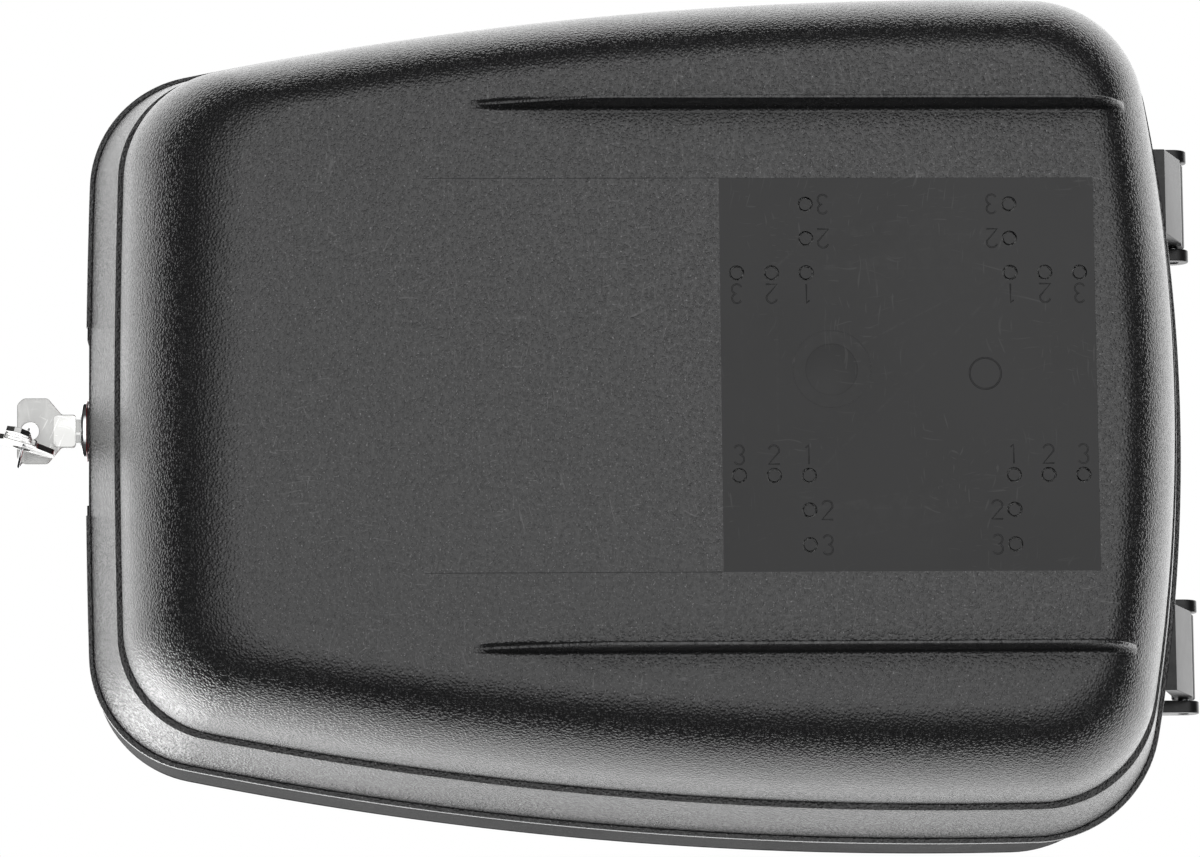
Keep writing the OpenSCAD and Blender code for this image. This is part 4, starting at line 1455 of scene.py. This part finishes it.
@dataclass
class Keys:
    """The key in the lock, the split ring and the spare key."""

    plan: Plan
    bow_width: float = 24.0
    bow_length: float = 16.0
    neck_length: float = 5.0
    neck_width: float = 12.0
    blade_width: float = 8.4
    thickness: float = 2.0
    hole_r: float = 3.3
    web: float = 1.3
    near_chamfer: float = 5.0
    far_chamfer: float = 2.2
    ring_r: float = 7.75
    wire_r: float = 0.75
    cuts: tuple[float, ...] = (0.9, 1.5, 0.6, 1.8, 1.1)

    def _round_hole(self) -> list[Point2]:
        """Draws the hole in the bow."""
        y = self.web + self.hole_r
        return [(self.hole_r * math.cos(a), y + self.hole_r * math.sin(a))
                for a in np.linspace(0, 2 * math.pi, 48, endpoint=False)]

    def _softened(self, corners: Sequence[Point2], r: float) -> list[Point2]:
        """Rounds the corners of a polygon.

        Args:
            corners: the polygon.
            r: distance that each rounding takes off both of its edges.

        Returns:
            The rounded polygon.
        """
        out, n = [], len(corners)
        for i in range(n):
            a, b, c = (np.array(corners[(i + k) % n], dtype=float) for k in (-1, 0, 1))
            p = b + (a - b) / np.linalg.norm(a - b) * min(r, np.linalg.norm(a - b) * 0.45)
            q = b + (c - b) / np.linalg.norm(c - b) * min(r, np.linalg.norm(c - b) * 0.45)
            out += [tuple((1 - t) ** 2 * p + 2 * t * (1 - t) * b + t * t * q)
                    for t in (0, 0.25, 0.5, 0.75, 1)]
        return out

    def _key(self, name: str, length: float, place: Matrix) -> tuple[bpy.types.Object, bpy.types.Object]:
        """Builds a key: bow, neck and notched blade, and the raised plates on both faces of the neck.

        Args:
            name: start of the pieces' names.
            length: length of the key.
            place: matrix that takes the key to its place.

        Returns:
            The key and its raised plates.
        """
        half, neck = self.bow_width / 2, self.neck_width / 2
        near, far, base = self.near_chamfer, self.far_chamfer, self.bow_length
        neck_y = base + self.neck_length
        bow = [(-half + far, 0), (half - far, 0), (half, far), (half, base - near), (neck, base),
               (neck, neck_y), (-neck, neck_y), (-neck, base), (-half, base - near), (-half, far)]
        bow_plate = plate("bow", [self._softened(bow, 0.9), self._round_hole()], self.thickness, 0.22, place)
        edge, tip = self.blade_width / 2, 3.0
        right, left = [(edge, neck_y - 1)], []
        step = (length - tip - neck_y - 3) / len(self.cuts)
        for i, depth in enumerate(self.cuts):
            y = neck_y + 2.5 + i * step
            right += [(edge, y), (edge - depth * 0.7, y + depth), (edge - depth * 0.7, y + depth + 0.7),
                      (edge, y + 2 * depth + 0.7)]
            left += [(-edge, y + 0.4), (-edge + depth * 0.5, y + 0.4 + depth), (-edge, y + 0.4 + 2 * depth)]
        outline = right + [(edge, length - tip), (edge - tip, length), (-edge + tip, length),
                           (-edge, length - tip)] + left[::-1] + [(-edge, neck_y - 1)]
        blade = plate("blade", [outline], self.thickness - 0.1, 0.15, place)
        raised = []
        for face in (-1, 1):
            lift = place @ Matrix.Translation((0, 0, face * (self.thickness / 2 + 0.02)))
            w, y0, y1 = neck - 0.2, base - 3.0, neck_y + 0.2
            raised.append(plate("neck", [self._softened([(-w, y0), (w, y0), (w, y1), (-w, y1)], 1.6)],
                                0.36, 0.12, lift))
            x0, x1 = -1.4, -0.5
            rib = [(x0, neck_y), (x1, neck_y), (x1, length - 4), (x0, length - 4)]
            raised.append(plate("rib", [rib], 0.1, 0.04, place @ Matrix.Translation((0, 0, face * 0.97))))
        return joined(name, [bow_plate, blade]), joined(f"{name}_neck_plates", raised)

    def _ring(self) -> bpy.types.Object:
        """Builds the split ring from two turns of flattened wire."""
        joint = joint_of("ring_swing")
        low, high = box_mm("split_ring")
        centre = (low + high) / 2
        along = Vector(joint["axis"]).normalized()
        turns, steps, flat = 2, 96, 2.1
        path = []
        for i in range(turns * steps - 6):
            a = 2 * math.pi * i / steps
            lift = (i / (turns * steps) - 0.5) * self.wire_r * 1.05
            path.append([self.ring_r * math.cos(a), self.ring_r * math.sin(a), lift])
        ring = tube("split_ring_coils", [path], self.wire_r * 0.92, flat=flat)
        side = along.cross(Vector((0, 0, 1)))
        frame_axes = Matrix((along, Vector((0, 0, 1)), side)).transposed().to_4x4()
        ring.data.transform(Matrix.Translation(centre * MM) @ frame_axes)
        return ring

    def build(self) -> None:
        """Builds both keys and the ring."""
        low, high = box_mm("key")
        length = high.y - low.y
        here = Matrix.Translation((0, low.y, self.plan.lock.z))
        key, plates = self._key("key_in_lock", length, here)
        settle(key, Body.PLUG, KEY_NICKEL, "key")
        settle(plates, Body.PLUG, KEY_POLISHED)
        settle(self._ring(), Body.RING, RING_STEEL, "split_ring")
        joint = joint_of("spare_key_swing")
        u = Vector(joint["axis"])
        heading = math.atan2(u.y, u.x) + math.pi / 2
        top = joint_mm("spare_key_swing")
        top.z = box_mm("spare_key")[1].z - self.web - self.hole_r
        hung = (Matrix.Translation(top) @ Matrix.Rotation(heading, 4, "Z")
                @ Matrix.Rotation(-math.pi / 2, 4, "X") @ Matrix.Translation((0, -self.web - self.hole_r, 0)))
        spare, spare_plates = self._key("key_spare", length, hung)
        settle(spare, Body.SPARE, KEY_NICKEL, "spare_key")
        settle(spare_plates, Body.SPARE, KEY_POLISHED)


# ---------------------------------------------------------------- studio


@dataclass
class Studio:
    """Plain pale floor, soft light and the camera."""

    camera_mm: tuple[float, float, float] = (-356.1, -208.7, -2198.3)
    aim_mm: tuple[float, float, float] = (-18.75, -106.85, 0.0)
    up: tuple[float, float, float] = (0.9884, 0.0034, -0.1518)
    lens_mm: float = 195.0
    floor_size: float = 12.0
    floor_tone: float = 0.62
    sky: tuple[tuple[float, float], ...] = (
        (0.0, 0.68), (0.08, 0.66), (0.20, 0.04), (0.66, 0.005), (0.71, 0.14), (0.75, 0.9), (1.0, 0.7))
    sky_strength: float = 2.6
    floor_gap: float = 0.2
    floor_mottle: float = 0.01
    floor_roughness: float = 0.75
    key_place: tuple[float, float, float] = (-1.1, -1.3, 1.9)
    key_size: float = 1.4
    key_watts: float = 26.0
    low_place: tuple[float, float, float] = (0.9, 0.5, -2.3)
    low_size: float = 1.2
    low_watts: float = 5.0

    def _floor(self) -> bpy.types.Object:
        """Lays the floor: pale from above, and open to light and view from below."""
        low = CAD_BOX[0][2] / MM - self.floor_gap
        half = self.floor_size / 2 / MM
        floor = mesh_piece("floor", np.array([[-half, -half, low], [half, -half, low], [half, half, low],
                                              [-half, half, low]]), [(0, 1, 2, 3)])
        paint = bpy.data.materials.new("pale_floor")
        paint.use_nodes = True
        w = Wiring(paint.node_tree)
        shader = paint.node_tree.nodes["Principled BSDF"]
        tone = w.span(w.noise(w.add("TexCoord").outputs["Object"], 3.0, 3.0), 0.3, 0.7,
                      self.floor_tone - self.floor_mottle, self.floor_tone + self.floor_mottle)
        colour = w.add("CombineColor")
        for channel in ("Red", "Green", "Blue"):
            w.link(tone, colour.inputs[channel])
        w.link(colour.outputs["Color"], shader.inputs["Base Color"])
        shader.inputs["Roughness"].default_value = self.floor_roughness
        seen = w.maths("MULTIPLY", w.add("LightPath").outputs["Is Camera Ray"],
                       w.maths("SUBTRACT", 1.0, w.add("NewGeometry").outputs["Backfacing"]))
        clear = w.add("BsdfTransparent")
        mix = w.add("MixShader")
        w.link(seen, mix.inputs["Fac"])
        w.link(clear.outputs["BSDF"], mix.inputs[1])
        w.link(shader.outputs["BSDF"], mix.inputs[2])
        w.link(mix.outputs["Shader"], paint.node_tree.nodes["Material Output"].inputs["Surface"])
        floor.data.materials.append(paint)
        return floor

    def _sky(self) -> None:
        """Lights the scene from all round, brightest from the sides and above, and keeps the view white."""
        world = bpy.data.worlds.new("studio")
        world.use_nodes = True
        bpy.context.scene.world = world
        w = Wiring(world.node_tree)
        back = world.node_tree.nodes["Background"]
        split = w.add("SeparateXYZ")
        w.link(w.add("TexCoord").outputs["Generated"], split.inputs["Vector"])
        height = w.maths("MULTIPLY_ADD", split.outputs["Z"], 0.5)
        height.node.inputs[2].default_value = 0.5
        ramp = w.add("ValToRGB")
        while len(ramp.color_ramp.elements) < len(self.sky):
            ramp.color_ramp.elements.new(1.0)
        for element, (place, tone) in zip(ramp.color_ramp.elements, self.sky):
            element.position = place
            element.color = (tone, tone, tone, 1)
        w.link(height, ramp.inputs["Fac"])
        w.link(ramp.outputs["Color"], back.inputs["Color"])
        back.inputs["Strength"].default_value = self.sky_strength
        plain = w.add("Background")
        plain.inputs["Color"].default_value = (1, 1, 1, 1)
        mix = w.add("MixShader")
        w.link(w.add("LightPath").outputs["Is Camera Ray"], mix.inputs["Fac"])
        w.link(back.outputs["Background"], mix.inputs[1])
        w.link(plain.outputs["Background"], mix.inputs[2])
        w.link(mix.outputs["Shader"], world.node_tree.nodes["World Output"].inputs["Surface"])

    def _lamp(self, name: str, place: Vector, aim: Vector, size: float, watts: float) -> None:
        """Adds a soft area light.

        Args:
            name: name of the light.
            place: where it is, in metres.
            aim: what it points at, in metres.
            size: side of its square.
            watts: power.
        """
        data = bpy.data.lights.new(name, "AREA")
        data.size, data.energy = size, watts
        lamp = bpy.data.objects.new(name, data)
        lamp.location = place
        lamp.rotation_euler = (aim - place).to_track_quat("-Z", "Y").to_euler()
        bpy.context.scene.collection.objects.link(lamp)

    def _camera(self) -> None:
        """Sets the camera that looks up at the underside."""
        data = bpy.data.cameras.new("camera")
        data.lens, data.sensor_width, data.sensor_fit = self.lens_mm, 36.0, "HORIZONTAL"
        data.clip_end = 100.0
        camera = bpy.data.objects.new("camera", data)
        place, aim = Vector(self.camera_mm), Vector(self.aim_mm)
        forward = (aim - place).normalized()
        right = forward.cross(Vector(self.up)).normalized()
        true_up = right.cross(forward)
        axes = Matrix((right, true_up, -forward)).transposed()
        camera.matrix_world = Matrix.Translation(place * MM) @ axes.to_4x4()
        bpy.context.scene.collection.objects.link(camera)
        bpy.context.scene.camera = camera

    def build(self) -> None:
        """Sets up the camera, light and floor."""
        bpy.context.scene.view_settings.view_transform = "Standard"
        self._camera()
        self._sky()
        middle = (Vector(CAD_BOX[0]) + Vector(CAD_BOX[1])) / 2
        self._lamp("key_light", middle + Vector(self.key_place), middle, self.key_size, self.key_watts)
        self._lamp("low_light", middle + Vector(self.low_place), middle, self.low_size, self.low_watts)
        self._floor()


def build_case() -> None:
    """Builds the case piece by piece, then the studio round it."""
    plan = Plan.from_frame()
    for part in (BaseShell(plan), LidShell(plan), HingeLugs(plan), ReflectorLock(plan), Keys(plan)):
        log.info("building %s", type(part).__name__)
        part.build()
    Studio().build()


if __name__ == "__main__":
    logging.basicConfig(level=logging.INFO, format="%(message)s")
    build_case()
